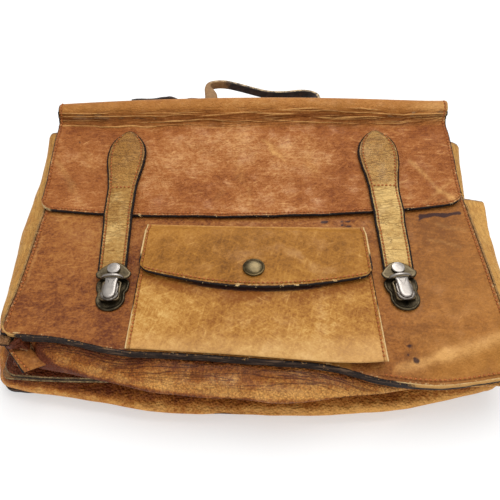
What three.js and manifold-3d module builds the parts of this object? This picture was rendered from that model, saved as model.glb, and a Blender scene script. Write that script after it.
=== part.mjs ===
// A soft leather briefcase with two compartments, lying on its back with its flap closed.
// Millimetres. X runs across the case, Y from its bottom towards its handle, and Z up through
// its front. The origin is the middle of the back's flat underside. In the functions below,
// "across" is measured from the middle line, "up" from the bottom seam towards the handle, and
// "level" from the underside of the back.
import * as THREE from "three";
import { mergeVertices } from "three/addons/utils/BufferGeometryUtils.js";
import Module from "manifold-3d";

const wasm = await Module();
wasm.setup();

// Driving dimensions
const CASE_WIDTH = 380;
const CASE_HEIGHT = 281;
const FRONT_LEVEL = 57;
const FRONT_HEIGHT = 178;
const FRONT_SAG = 4;
const FRONT_SAG_FOOT = 0.3;
const FRONT_SAG_FULL = 130;
const INNER_LEVEL = 28;
const INNER_HEIGHT = 272;
const INNER_CLIMB = 43;
const INNER_CURVE = 2.4;
const FRONT_GUSSET_HEIGHT = 175;
const BACK_GUSSET_HEIGHT = { left: 264, right: 251 };
const DROOP_LENGTH = 50;
const CLIMB_FADE = 130;
const SEAM = 8;
const GAP = 0.35;
const BED = 2 * GAP;
const HALF = CASE_WIDTH / 2;
const INNER_SHIFT = -3;
const BACK_SHIFT = -8;
const BACK_HALF = 194;

// Leather thicknesses
const PANEL = 2.8;
const INNER = 2;
const GUSSET = 1.8;
const FLAP = 3;
const STRAP = 3;
const POCKET = 2.2;
const POCKET_FLAP = 2.6;

// Lower edges of the three panels: how far the edge climbs, and how far it lifts or droops
const FRONT_EDGE = [
  { across: -190, climb: 20, lift: 3 },
  { across: -145, climb: 16, lift: 3 },
  { across: -100, climb: 7, lift: 1 },
  { across: -54, climb: 4.6, lift: 0 },
  { across: 0, climb: 0.4, lift: 0 },
  { across: 60, climb: -5, lift: -3 },
  { across: 92, climb: -12.5, lift: -8 },
  { across: 125, climb: -15, lift: -12 },
  { across: 190, climb: -8, lift: -11 },
];
const INNER_EDGE = [
  { across: -190, climb: 3, lift: 0 },
  { across: -150, climb: 0, lift: 0 },
  { across: -100, climb: -1, lift: 0 },
  { across: 0, climb: 0, lift: 0 },
  { across: 100, climb: -4, lift: 0 },
  { across: 190, climb: -1, lift: 0 },
];
const BACK_EDGE = [
  { across: -190, climb: 5, lift: 0 },
  { across: 0, climb: 0, lift: 0 },
  { across: 190, climb: 5, lift: 0 },
];

// The gussets' rounded lower corners, the turn from each border into the fold, the shares of the
// fold that get a line of their own, and the roundness of the fold
const GUSSET_CORNER = { radius: 11, turns: 4 };
const GUSSET_TURN = 3.8;
const GUSSET_LINES = [0.26, 0.44, 0.56, 0.74];
const FOLD_ROUNDNESS = 0.8;
const MITRE_LIMIT = 0.35;

// How far each gusset's fold stands out past the sewn edges, below zero tucked inwards, and the
// share of the way down from the upper seam where it stands out most
const FRONT_FOLD = {
  left: [
    { up: 0, reach: -12, crest: 0.5 },
    { up: 60, reach: -20, crest: 0.5 },
    { up: 175, reach: -20, crest: 0.5 },
  ],
  bottom: [
    { across: -190, reach: -6, crest: 0.5 },
    { across: -120, reach: 8, crest: 0.55 },
    { across: -64, reach: 17, crest: 0.6 },
    { across: 0, reach: 22, crest: 0.6 },
    { across: 40, reach: 20, crest: 0.6 },
    { across: 84, reach: 11, crest: 0.55 },
    { across: 120, reach: 2, crest: 0.5 },
    { across: 190, reach: 5, crest: 0.5 },
  ],
  right: [
    { up: 0, reach: 8, crest: 0.5 },
    { up: 50, reach: 14, crest: 0.45 },
    { up: 97, reach: 16, crest: 0.45 },
    { up: 175, reach: 21, crest: 0.45 },
  ],
};
const BACK_FOLD = {
  left: [
    { up: 0, reach: 2, crest: 0.5 },
    { up: 60, reach: 17, crest: 0.5 },
    { up: 100, reach: 21, crest: 0.42 },
    { up: 180, reach: 23, crest: 0.33 },
    { up: 215, reach: 19, crest: 0.26 },
    { up: 264, reach: 16, crest: 0.08 },
  ],
  bottom: [
    { across: -190, reach: 1, crest: 0.5 },
    { across: -150, reach: 5, crest: 0.5 },
    { across: -67, reach: 18, crest: 0.5 },
    { across: 0, reach: 21, crest: 0.5 },
    { across: 63, reach: 20, crest: 0.5 },
    { across: 124, reach: 15, crest: 0.5 },
    { across: 190, reach: 1, crest: 0.5 },
  ],
  right: [
    { up: 0, reach: 1, crest: 0.5 },
    { up: 90, reach: 12, crest: 0.42 },
    { up: 187, reach: 16, crest: 0.3 },
    { up: 251, reach: 17, crest: 0.08 },
  ],
};

// Outer face of the flap from its lower edge over the stiff top roll and down to the back; sag is
// the share of the front's sag that it follows, and bow the share of the roll's bow
const FLAP_PROFILE = [
  { up: 148, level: 61, sag: 1, bow: 0 },
  { up: 162, level: 61.6, sag: 1, bow: 0 },
  { up: 182, level: 64.5, sag: 0.9, bow: 0 },
  { up: 208, level: 70.5, sag: 0.7, bow: 0 },
  { up: 234, level: 76.5, sag: 0.4, bow: 0 },
  { up: 257, level: 81.5, sag: 0.2, bow: 0.1 },
  { up: 260, level: 87, sag: 0.1, bow: 0.5 },
  { up: 264, level: 92.5, sag: 0, bow: 0.9 },
  { up: 270, level: 95.5, sag: 0, bow: 1 },
  { up: 277, level: 93, sag: 0, bow: 1 },
  { up: 281, level: 85, sag: 0, bow: 0.7 },
  { up: 282, level: 48, sag: 0, bow: 0.2 },
  { up: 282, level: 10, sag: 0, bow: 0 },
  { up: 279.5, level: 5, sag: 0, bow: 0 },
  { up: 275, level: 3.3, sag: 0, bow: 0 },
  { up: 269, level: 3.3, sag: 0, bow: 0 },
];
const ROLL_BOW = { up: 3.5, level: 4 };
// The right end of the roll flares out and up; the power keeps that to its last part
const ROLL_FLARE = { reach: 2.5, rise: 2.5, power: 12 };
// Climb of the flap's lower edge, which fades out above it
const FLAP_EDGE = [
  { across: -191, climb: 3 },
  { across: -130, climb: 0 },
  { across: 90, climb: 0 },
  { across: 150, climb: 4 },
  { across: 191, climb: 10 },
];
const FLAP_EDGE_FADE = 48;
const FLAP_FRONT_ROWS = 6;
const FLAP_CENTRE = -3;
const FLAP_HALF = 191;
const FLAP_CORNER = 14;
const FLAP_CORNER_LINES = [0, 2, 6];

// The two closing straps: one outline, and a share of its width and a middle line for each
const STRAP_OUTLINE = [
  { up: 75, half: 12.4 },
  { up: 94, half: 12.8 },
  { up: 120, half: 13.2 },
  { up: 132, half: 13.4 },
  { up: 148, half: 13.8 },
  { up: 162, half: 14 },
  { up: 176, half: 14.4 },
  { up: 190, half: 16.4 },
  { up: 204, half: 19 },
  { up: 216, half: 19.2 },
  { up: 227, half: 15.4 },
  { up: 234, half: 10 },
  { up: 239.5, half: 3 },
];
const STRAPS = {
  left: {
    width: 0.95,
    line: [{ up: 75, middle: -116 }, { up: 145, middle: -121.5 }, { up: 240, middle: -121 }],
  },
  right: {
    width: 1,
    line: [{ up: 75, middle: 116 }, { up: 110, middle: 117.5 }, { up: 240, middle: 116 }],
  },
};
const STRAP_STEP = 16;
const STRAP_COLUMNS = 4;

// The patch pocket and its flap
const POCKET_LEFT = -95;
const POCKET_RIGHT = 95;
const POCKET_FOOT = [
  { across: -95, up: 8 },
  { across: -54, up: 5.4 },
  { across: 0, up: 1.2 },
  { across: 32, up: -1.7 },
  { across: 56, up: -3.7 },
  { across: 74, up: -4 },
  { across: 95, up: -3 },
];
const POCKET_MOUTH = { left: 123, right: 117 };
const POCKET_TOP = { left: 137, right: 131 };
const POCKET_FULLNESS = { depth: 5.5, across: 0.7, up: 0.6 };
const POCKET_GRID = { columns: 12, rows: 6 };
const POCKET_TIP = { ends: 77, middle: 59, lean: 7 };
const POCKET_FLAP_CORNER = 9;
const POCKET_FLAP_CORNER_LINES = [0, 1.2, 4];
const POCKET_FLAP_ROWS = [0, 0.06, 0.14, 0.24, 0.45, 0.7, 0.88, 1];
const POCKET_FLAP_LIFT = 1.2;
const SNAP = { across: -1, up: 77.8, radius: 8.8, height: 2.8, rim: 0.9 };
const CAP_SEGMENTS = { round: 20, crown: 4 };

// The tuck locks; their own up is measured from the base plate's lower end
const LOCK_FOOT = 41;
const LOCKS = { left: { across: -113.3, lean: 0.012 }, right: { across: 118, lean: 0.09 } };
const LOCK_PLATE = { from: 1.2, to: 33, lobe: 11.5, thickness: 1.4, bevel: 0.5 };
const LOCK_WAIST = { half: 10.8, up: 18.6, soft: 2 };
const LOCK_SHOULDER = { half: 13.2, across: 5, up: 6 };
const LOCK_CASE = { half: 7.6, from: 10, to: 28, top: 4.4 };
const LOCK_CHANNEL = { half: 4.9, floor: 1.9, past: 3 };
const HASP = { top: 46.6, lip: 9.3, wing: 14.3, wingUp: 35.2, from: 29.4, shoulder: 1 };
const HASP_PLATE = { underside: 4, thickness: 1.6, bevel: 0.35 };
const HASP_ARCH = { half: 9.3, wall: 1.2, crown: 10.3, depth: 2 };
const RIVET = { up: 39, radius: 5.35, height: 2.2, rim: 0.6 };
const SLIDER_PAD = { half: 5, from: 9.4, to: 30, under: 6, top: 7.9, bevel: 0.7 };
const SLIDER_LIP = { half: 7.3, from: 7.8, to: 16, under: 4.8, top: 6.3, bevel: 0.4 };
const SLIDER_KEY = { half: 4.6, from: 12, to: 26, under: 2.2, top: 6.5 };

// The handle strap and the bar that it is sewn to
const HANDLE_BAR = { half: 122, low: 58, high: 87, lean: 3, thickness: 3, up: 282, clip: 8 };
const HANDLE = { width: 9, thickness: 3.8 };
const HANDLE_LINE = [
  { across: -66, up: 288, level: 75 },
  { across: -55, up: 288.6, level: 75 },
  { across: -50, up: 298, level: 76 },
  { across: -51, up: 315, level: 77 },
  { across: -47, up: 323, level: 78 },
  { across: -34, up: 325.8, level: 77.8 },
  { across: -20, up: 324.6, level: 75.6 },
  { across: 3, up: 320.6, level: 71 },
  { across: 18, up: 319.6, level: 68.4 },
  { across: 34, up: 320.2, level: 67.8 },
  { across: 48, up: 322.6, level: 67.8 },
  { across: 59, up: 319.5, level: 68.8 },
  { across: 65.5, up: 311, level: 71 },
  { across: 67, up: 300, level: 73 },
  { across: 71, up: 288.6, level: 74 },
  { across: 83, up: 288, level: 74 },
];
const HANDLE_STEPS = 52;

const LEATHER = { front: 0xa86a38, pocket: 0xbd8d4c, strap: 0xb98a52, gusset: 0xa06c3b, dark: 0x3b2a20 };
const METAL = { bronze: 0x6e5a3e, silver: 0xc4bcb2 };

// Smooth reading of a table's column: a Catmull-Rom curve through its rows
function read(table, key, column, at) {
  const last = table.length - 1;
  const place = THREE.MathUtils.clamp(at, table[0][key], table[last][key]);
  let row = table.findIndex((entry) => entry[key] > place) - 1;
  if (row < 0) row = last - 1;
  const value = (index) => table[THREE.MathUtils.clamp(index, 0, last)][column];
  const share = (place - table[row][key]) / (table[row + 1][key] - table[row][key]);
  const before = (value(row + 1) - value(row - 1)) / 2;
  const after = (value(row + 2) - value(row)) / 2;
  const [one, two, three] = [share, share ** 2, share ** 3];
  const start = value(row) * (2 * three - 3 * two + 1) + before * (three - 2 * two + one);
  return start + value(row + 1) * (3 * two - 2 * three) + after * (three - two);
}

// Evenly spaced numbers from first to last
function spread(first, last, steps) {
  return Array.from({ length: steps + 1 }, (_, step) => first + ((last - first) * step) / steps);
}

function point(across, up, level) {
  return new THREE.Vector3(across, up, level);
}

// The closed wall between two grids of points of the same size, one on each of its faces
function wallBetween(outer, inner) {
  const rows = outer.length;
  const columns = outer[0].length;
  const count = rows * columns;
  const points = [...outer.flat(), ...inner.flat()];
  const index = [];
  const quad = (a, b, c, d) => index.push(a, b, c, a, c, d);
  const at = (row, column) => row * columns + column;
  for (let row = 0; row + 1 < rows; row++) {
    for (let column = 0; column + 1 < columns; column++) {
      const [a, b] = [at(row, column), at(row, column + 1)];
      const [d, c] = [at(row + 1, column), at(row + 1, column + 1)];
      quad(a, b, c, d);
      index.push(count + a, count + c, count + b, count + a, count + d, count + c);
    }
  }
  const rim = [];
  for (let column = 0; column < columns; column++) rim.push(at(0, column));
  for (let row = 1; row < rows; row++) rim.push(at(row, columns - 1));
  for (let column = columns - 2; column >= 0; column--) rim.push(at(rows - 1, column));
  for (let row = rows - 2; row > 0; row--) rim.push(at(row, 0));
  rim.forEach((from, step) => {
    const to = rim[(step + 1) % rim.length];
    quad(to, from, count + from, count + to);
  });
  const geometry = new THREE.BufferGeometry();
  geometry.setFromPoints(points);
  geometry.setIndex(enclosedVolume(points, index) > 0 ? index : index.reverse());
  return geometry;
}

// Signed volume inside a closed set of triangles, six-fold
function enclosedVolume(points, index) {
  let volume = 0;
  for (let corner = 0; corner < index.length; corner += 3) {
    const [a, b, c] = [0, 1, 2].map((step) => points[index[corner + step]]);
    volume += a.dot(new THREE.Vector3().crossVectors(b, c));
  }
  return volume;
}

// How far a panel's rows follow the climb of its lower edge
function climbAt(edge, across, up) {
  return read(edge, "across", "climb", across) * (1 - THREE.MathUtils.smoothstep(up, SEAM, CLIMB_FADE));
}

// A panel maps its rows and columns to their place, with a lower edge that wanders
function makePanel({ edge, level, thickness, shift = 0, half = HALF }) {
  const place = (across, row, depth = 0) =>
    point(shift + (across * half) / HALF, row + climbAt(edge, across, row), level(across, row) - depth);
  return { place, thickness };
}

// How far the front panel lifts or droops at one of its rows
function frontLift(across, row) {
  const fade = 1 - THREE.MathUtils.smoothstep(row, 0, DROOP_LENGTH);
  return read(FRONT_EDGE, "across", "lift", across) * fade;
}

// Outer face of the front panel at one of its rows: it sags in the middle and droops at its foot
function frontRowLevel(across, row) {
  const fullness = THREE.MathUtils.smoothstep(row, 0, FRONT_SAG_FULL);
  const sag = FRONT_SAG * (1 - (across / HALF) ** 2) * THREE.MathUtils.lerp(FRONT_SAG_FOOT, 1, fullness);
  return FRONT_LEVEL - sag + frontLift(across, row);
}

// The row of the front that lies at a place, found by a few steps of correction
function frontRow(across, up) {
  let row = up;
  for (let step = 0; step < 5; step++) row = up - climbAt(FRONT_EDGE, across, row);
  return row;
}

function frontLevel(across, up) {
  return frontRowLevel(across, frontRow(across, up));
}

function innerRowLevel(across, row) {
  return INNER_LEVEL + INNER_CLIMB * (row / INNER_HEIGHT) ** INNER_CURVE;
}

const FRONT_PANEL = makePanel({ edge: FRONT_EDGE, level: frontRowLevel, thickness: PANEL });
const INNER_WALL = makePanel({
  edge: INNER_EDGE,
  level: innerRowLevel,
  thickness: INNER,
  shift: INNER_SHIFT,
});
const BACK_PANEL = makePanel({
  edge: BACK_EDGE,
  level: () => PANEL,
  thickness: PANEL,
  shift: BACK_SHIFT,
  half: BACK_HALF,
});

// Panels and gussets share these stations, so that sewn edges meet vertex to vertex
const INNER_COLUMNS = spread(SEAM - HALF, HALF - SEAM, 10);
const COLUMNS = [-HALF, ...INNER_COLUMNS, HALF];
const DROOP_ROWS = spread(2 * SEAM, DROOP_LENGTH, 3);
const SIDE_ROWS = [...DROOP_ROWS, ...spread(DROOP_LENGTH, FRONT_GUSSET_HEIGHT, 3).slice(1)];
const UPPER_ROWS = [
  (FRONT_GUSSET_HEIGHT + BACK_GUSSET_HEIGHT.right) / 2,
  BACK_GUSSET_HEIGHT.right,
  BACK_GUSSET_HEIGHT.left,
];

function panelSolid(panel, rows) {
  const outer = rows.map((up) => COLUMNS.map((across) => panel.place(across, up)));
  const inner = rows.map((up) => COLUMNS.map((across) => panel.place(across, up, panel.thickness)));
  return wallBetween(outer, inner);
}

function foldAt(table, key, at) {
  return { reach: read(table, key, "reach", at), crest: read(table, key, "crest", at) };
}

// Stations round three sides, at the rows given for each upright side: a sewn edge, the inner end
// of its border, and the fold's reach and crest
function gussetStations(rows, fold) {
  const { radius, turns } = GUSSET_CORNER;
  const quarter = Math.PI / 2;
  const stations = [];
  const side = (sign, table, up) =>
    stations.push({
      edge: [sign * HALF, up],
      border: [sign * (HALF - SEAM), up],
      ...foldAt(table, "up", up),
    });
  const corner = (sign, table, angle) => {
    const outward = [sign * Math.cos(angle), -Math.sin(angle)];
    const centre = [sign * (HALF - radius), radius];
    const away = (distance) => [centre[0] + distance * outward[0], centre[1] + distance * outward[1]];
    const from = foldAt(table, "up", radius);
    const to = foldAt(fold.bottom, "across", centre[0]);
    stations.push({
      edge: away(radius),
      border: away(radius - SEAM),
      reach: THREE.MathUtils.lerp(from.reach, to.reach, angle / quarter),
      crest: THREE.MathUtils.lerp(from.crest, to.crest, angle / quarter),
    });
  };
  rows.left.toReversed().forEach((up) => side(-1, fold.left, up));
  spread(0, quarter, turns).forEach((angle) => corner(-1, fold.left, angle));
  INNER_COLUMNS.slice(1, -1).forEach((across) =>
    stations.push({
      edge: [across, 0],
      border: [across, SEAM],
      ...foldAt(fold.bottom, "across", across),
    }),
  );
  spread(quarter, 0, turns).forEach((angle) => corner(1, fold.right, angle));
  rows.right.forEach((up) => side(1, fold.right, up));
  return stations;
}

// One station's section: a border under the upper panel, a fold, and a border on the lower panel.
// Its middle line lies in the upright plane through the border and the sewn edge.
function gussetSection(upper, lower, station) {
  const above = -upper.thickness - GAP;
  const upperEdge = upper.place(...station.edge, -above);
  const upperBorder = upper.place(...station.border, -above);
  const lowerEdge = lower.place(...station.edge, -GAP);
  const lowerBorder = lower.place(...station.border, -GAP);
  const outward = new THREE.Vector3().subVectors(lowerEdge, lowerBorder).setZ(0).normalize();
  const flat = (place, drop) => [
    new THREE.Vector3().subVectors(place, lowerBorder).dot(outward),
    place.z - drop,
  ];
  const top = flat(upperBorder, GUSSET_TURN);
  const bottom = flat(lowerBorder, -GUSSET_TURN);
  const tip = station.reach + (station.reach > 0 ? SEAM : 0);
  const line = [flat(upperEdge, GUSSET / 2), flat(upperBorder, GUSSET / 2), top];
  GUSSET_LINES.forEach((turnShare) => {
    const share = turnShare ** (Math.log(station.crest) / Math.log(1 / 2));
    const bulge = tip * Math.sin(Math.PI * turnShare) ** FOLD_ROUNDNESS;
    const out = THREE.MathUtils.lerp(top[0], bottom[0], share) + bulge;
    line.push([out, THREE.MathUtils.lerp(top[1], bottom[1], share)]);
  });
  line.push(bottom, flat(lowerBorder, -GUSSET / 2), flat(lowerEdge, -GUSSET / 2));
  const lift = ([out, level]) => lowerBorder.clone().addScaledVector(outward, out).setZ(level);
  return offsetLine(line, GUSSET / 2).map((face) => face.map(lift));
}

// The two faces of a wall of even thickness about a line in a plane
function offsetLine(line, distance) {
  const direction = (from, to) => {
    const length = Math.hypot(to[0] - from[0], to[1] - from[1]);
    return [(to[0] - from[0]) / length, (to[1] - from[1]) / length];
  };
  const faces = [[], []];
  const last = line.length - 1;
  line.forEach((place, step) => {
    const before = direction(line[Math.max(step - 1, 0)], line[Math.max(step, 1)]);
    const after = direction(line[Math.min(step, last - 1)], line[Math.min(step + 1, last)]);
    const across = [-(before[1] + after[1]), before[0] + after[0]];
    const mitre = distance / Math.max(MITRE_LIMIT, (across[0] ** 2 + across[1] ** 2) / 2);
    faces[0].push([place[0] + across[0] * mitre, place[1] + across[1] * mitre]);
    faces[1].push([place[0] - across[0] * mitre, place[1] - across[1] * mitre]);
  });
  return faces;
}

function gussetSolid(upper, lower, rows, fold) {
  const sections = gussetStations(rows, fold).map((station) => gussetSection(upper, lower, station));
  return wallBetween(
    sections.map((section) => section[0]),
    sections.map((section) => section[1]),
  );
}

// Outer face of the flap at one row of its profile, with the lower corners rounded off
function flapPlace(across, row) {
  const side = Math.max(0, Math.abs(across) - (FLAP_HALF - FLAP_CORNER));
  const corner = FLAP_CORNER - Math.sqrt(FLAP_CORNER ** 2 - Math.min(side, FLAP_CORNER) ** 2);
  const above = row.up - FLAP_PROFILE[0].up;
  const fade = (length) => Math.max(0, 1 - above / length);
  const edge = read(FLAP_EDGE, "across", "climb", across);
  const climb = corner * fade(FLAP_CORNER) + edge * fade(FLAP_EDGE_FADE);
  const ends = (across / FLAP_HALF) ** 2;
  const sag = FRONT_SAG * row.sag * (1 - ends) + ROLL_BOW.level * row.bow * ends;
  const flare = row.bow * Math.max(0, across / FLAP_HALF) ** ROLL_FLARE.power;
  const up = row.up + climb - ROLL_BOW.up * row.bow * ends + ROLL_FLARE.rise * flare;
  return point(across + FLAP_CENTRE + ROLL_FLARE.reach * flare, up, row.level - sag);
}

function flapSolid() {
  const line = FLAP_PROFILE.map((row) => [row.up, row.level]);
  const [outerLine, innerLine] = offsetLine(line, FLAP / 2);
  const corner = FLAP_HALF - FLAP_CORNER;
  const ends = FLAP_CORNER_LINES.map((inset) => FLAP_HALF - inset);
  const columns = [...ends.map((x) => -x), ...spread(-corner, corner, 10), ...ends.toReversed()];
  const shifted = (faceLine, centreLine) =>
    FLAP_PROFILE.map((row, step) =>
      columns.map((across) => {
        const place = flapPlace(across, row);
        place.y += faceLine[step][0] - centreLine[step][0];
        place.z += faceLine[step][1] - centreLine[step][1];
        return place;
      }),
    );
  return wallBetween(shifted(outerLine, outerLine), shifted(innerLine, outerLine));
}

// Outer level of the flap's front at a place, read from its profile
function flapLevel(across, up) {
  const front = FLAP_PROFILE.slice(0, FLAP_FRONT_ROWS);
  const middle = 1 - ((across - FLAP_CENTRE) / FLAP_HALF) ** 2;
  const sag = FRONT_SAG * read(front, "up", "sag", up) * middle;
  return read(front, "up", "level", up) - sag;
}

// Level that a strap lies on: the flap, then a step down over its edge to the front panel
function strapBed(across, up) {
  const edge = FLAP_PROFILE[0].up;
  const onFlap = THREE.MathUtils.smoothstep(up, edge - STRAP_STEP, edge - 1);
  return THREE.MathUtils.lerp(frontLevel(across, up), flapLevel(across, Math.max(up, edge)), onFlap);
}

function strapSolid({ width, line }) {
  const face = (thickness) =>
    STRAP_OUTLINE.map(({ up, half }) => {
      const middle = read(line, "up", "middle", up);
      const level = strapBed(middle, up) + BED + thickness;
      const columns = spread(middle - half * width, middle + half * width, STRAP_COLUMNS);
      return columns.map((across) => point(across, up, level));
    });
  return wallBetween(face(STRAP), face(0));
}

// Share of the way from the pocket's left edge to its right edge
function pocketShare(across) {
  return (across - POCKET_LEFT) / (POCKET_RIGHT - POCKET_LEFT);
}

function pocketEdge(edge, across) {
  return THREE.MathUtils.lerp(edge.left, edge.right, pocketShare(across));
}

// Level of the pocket's outer face: flat on the front at its sewn sides, full at its mouth, and stiff
// where the front droops away under its foot
function pocketLevel(across, up) {
  const foot = read(POCKET_FOOT, "across", "up", across);
  const height = THREE.MathUtils.clamp((up - foot) / (pocketEdge(POCKET_MOUTH, across) - foot), 0, 1);
  const arch = Math.sin(Math.PI * THREE.MathUtils.clamp(pocketShare(across), 0, 1));
  const fullness = POCKET_FULLNESS.depth * arch ** POCKET_FULLNESS.across * height ** POCKET_FULLNESS.up;
  const row = frontRow(across, up);
  const bed = frontRowLevel(across, row) - Math.min(0, frontLift(across, row));
  return bed + BED + POCKET + fullness;
}

function pocketSolid() {
  const columns = spread(POCKET_LEFT, POCKET_RIGHT, POCKET_GRID.columns);
  const face = (depth) =>
    spread(0, 1, POCKET_GRID.rows).map((share) =>
      columns.map((across) => {
        const foot = read(POCKET_FOOT, "across", "up", across);
        const up = THREE.MathUtils.lerp(foot, pocketEdge(POCKET_MOUTH, across), share);
        return point(across, up, pocketLevel(across, up) - depth);
      }),
    );
  return wallBetween(face(0), face(POCKET));
}

// Lower edge of the pocket's flap: a shallow bow with rounded corners
function pocketTip(across) {
  const share = pocketShare(across);
  const bow = (POCKET_TIP.ends - POCKET_TIP.middle) * (2 * share - 1) ** 2;
  const side = Math.max(0, POCKET_FLAP_CORNER - Math.min(across - POCKET_LEFT, POCKET_RIGHT - across));
  const corner = POCKET_FLAP_CORNER - Math.sqrt(POCKET_FLAP_CORNER ** 2 - side ** 2);
  return POCKET_TIP.middle + bow + corner + POCKET_TIP.lean * (1 / 2 - share);
}

// Outer level of the pocket's flap: sewn to the front above the pocket, then over its mouth
function pocketFlapLevel(across, up) {
  const mouth = pocketEdge(POCKET_MOUTH, across) + BED;
  const top = pocketEdge(POCKET_TOP, across);
  const onFront = THREE.MathUtils.smoothstep(up, mouth, top - 2);
  const over = pocketLevel(across, Math.min(up, mouth)) + POCKET_FLAP_LIFT;
  return THREE.MathUtils.lerp(over, frontLevel(across, up), onFront) + BED + POCKET_FLAP;
}

function pocketFlapSolid() {
  const lefts = POCKET_FLAP_CORNER_LINES.map((inset) => POCKET_LEFT + inset);
  const rights = POCKET_FLAP_CORNER_LINES.map((inset) => POCKET_RIGHT - inset).toReversed();
  const middle = spread(POCKET_LEFT + POCKET_FLAP_CORNER, POCKET_RIGHT - POCKET_FLAP_CORNER, 10);
  const columns = [...lefts, ...middle, ...rights];
  const face = (depth) =>
    POCKET_FLAP_ROWS.map((share) =>
      columns.map((across) => {
        const up = THREE.MathUtils.lerp(pocketEdge(POCKET_TOP, across), pocketTip(across), share);
        return point(across, up, pocketFlapLevel(across, up) - depth);
      }),
    );
  return wallBetween(face(0), face(POCKET_FLAP));
}

// A turned cap with a rounded rim and a domed crown, on a flat underside
function capSolid({ radius, height, rim }) {
  const profile = [new THREE.Vector2(0, 0), new THREE.Vector2(radius - rim / 2, 0)];
  profile.push(new THREE.Vector2(radius, rim / 2));
  spread(0, Math.PI / 2, CAP_SEGMENTS.crown).forEach((angle) => {
    const crown = rim + (height - rim) * Math.sin(angle);
    profile.push(new THREE.Vector2((radius - rim / 3) * Math.cos(angle), crown));
  });
  profile[profile.length - 1].x = 0;
  return new THREE.LatheGeometry(profile, CAP_SEGMENTS.round).rotateX(Math.PI / 2);
}

function solidOf(geometry) {
  geometry.deleteAttribute("normal");
  geometry.deleteAttribute("uv");
  const merged = mergeVertices(geometry, 1e-4);
  const mesh = new wasm.Mesh({
    numProp: 3,
    vertProperties: new Float32Array(merged.attributes.position.array),
    triVerts: new Uint32Array(merged.index.array),
  });
  mesh.merge();
  return new wasm.Manifold(mesh);
}

function geometryOf(solid) {
  const mesh = solid.getMesh();
  const geometry = new THREE.BufferGeometry();
  geometry.setAttribute("position", new THREE.BufferAttribute(mesh.vertProperties, 3));
  geometry.setIndex(new THREE.BufferAttribute(mesh.triVerts, 1));
  return geometry;
}

// A flat plate of an outline, from one level to another, with its edges broken by a small bevel
function plate(shape, low, high, bevel = 0) {
  const geometry = new THREE.ExtrudeGeometry(shape, {
    depth: high - low - 2 * bevel,
    bevelEnabled: bevel > 0,
    bevelThickness: bevel,
    bevelSize: bevel,
    bevelOffset: -bevel,
    bevelSegments: 1,
    curveSegments: 7,
  });
  return solidOf(geometry.translate(0, 0, low + bevel));
}

function rectangle(half, from, to) {
  return new THREE.Shape([
    new THREE.Vector2(-half, from),
    new THREE.Vector2(half, from),
    new THREE.Vector2(half, to),
    new THREE.Vector2(-half, to),
  ]);
}

// A tongue with a round lower end
function tongue(half, from, to) {
  const shape = new THREE.Shape();
  shape.moveTo(half, to);
  shape.lineTo(-half, to);
  shape.absarc(0, from + half, half, Math.PI, 2 * Math.PI, false);
  shape.closePath();
  return shape;
}

// Base plate outline: a round lobe, a waist, and shoulders with rounded tops
function lockPlateOutline() {
  const { from, to, lobe } = LOCK_PLATE;
  const { half: waist, up: waistUp, soft } = LOCK_WAIST;
  const { half, across, up } = LOCK_SHOULDER;
  const centre = from + lobe;
  const shape = new THREE.Shape();
  shape.moveTo(-lobe, centre);
  shape.absarc(0, centre, lobe, Math.PI, 2 * Math.PI, false);
  shape.quadraticCurveTo(lobe, waistUp - soft, waist, waistUp);
  shape.quadraticCurveTo(half, waistUp + soft / 2, half, to - up);
  shape.quadraticCurveTo(half, to, half - across, to);
  shape.lineTo(across - half, to);
  shape.quadraticCurveTo(-half, to, -half, to - up);
  shape.quadraticCurveTo(-half, waistUp + soft / 2, -waist, waistUp);
  shape.quadraticCurveTo(-lobe, waistUp - soft, -lobe, centre);
  return shape;
}

// Base plate and raised case in one piece, with the channel that the thumb piece slides in
function lockPlateSolid() {
  const { thickness, bevel } = LOCK_PLATE;
  const { half, from, to, top } = LOCK_CASE;
  const { half: channelHalf, floor, past } = LOCK_CHANNEL;
  const base = plate(lockPlateOutline(), 0, thickness, bevel);
  const raised = plate(rectangle(half, from, to), thickness / 2, top, bevel);
  const channel = plate(rectangle(channelHalf, from - past, to + past), floor, top + past);
  return geometryOf(base.add(raised).subtract(channel));
}

// Hasp outline: a rounded peak over the rivet, two spread wings, and a straight lip below
function haspOutline() {
  const { top, lip, wing, wingUp, from, shoulder } = HASP;
  const shape = new THREE.Shape();
  shape.moveTo(-lip, from);
  shape.lineTo(lip, from);
  shape.quadraticCurveTo(wing - shoulder, from + shoulder, wing, wingUp);
  shape.quadraticCurveTo(lip, top - shoulder, 0, top);
  shape.quadraticCurveTo(-lip, top - shoulder, -wing, wingUp);
  shape.quadraticCurveTo(shoulder - wing, from + shoulder, -lip, from);
  return shape;
}

// Hasp plate with the upright arch that the thumb piece passes under
function haspSolid() {
  const { underside, thickness, bevel } = HASP_PLATE;
  const { half, wall, crown, depth } = HASP_ARCH;
  const foot = underside + thickness / 2;
  const rise = crown - foot;
  const arch = new THREE.Shape();
  arch.moveTo(half, 0);
  arch.absellipse(0, 0, half, rise, 0, Math.PI, false);
  arch.lineTo(wall - half, 0);
  arch.absellipse(0, 0, half - wall, rise - wall, Math.PI, 0, true);
  arch.closePath();
  const band = new THREE.ExtrudeGeometry(arch, { depth, bevelEnabled: false, curveSegments: 10 });
  band.rotateX(Math.PI / 2).translate(0, HASP.from + depth, foot);
  const wings = plate(haspOutline(), underside, underside + thickness, bevel);
  return geometryOf(wings.add(solidOf(band)));
}

// Thumb piece: a crowned pad with a lip round its lower end, on a key that runs in the channel
function sliderSolid() {
  const lobe = ({ half, from, to, under, top, bevel }) => plate(tongue(half, from, to), under, top, bevel);
  const { half, from, to, under, top } = SLIDER_KEY;
  const key = plate(rectangle(half, from, to), under, top);
  return geometryOf(lobe(SLIDER_PAD).add(lobe(SLIDER_LIP)).add(key));
}

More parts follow.
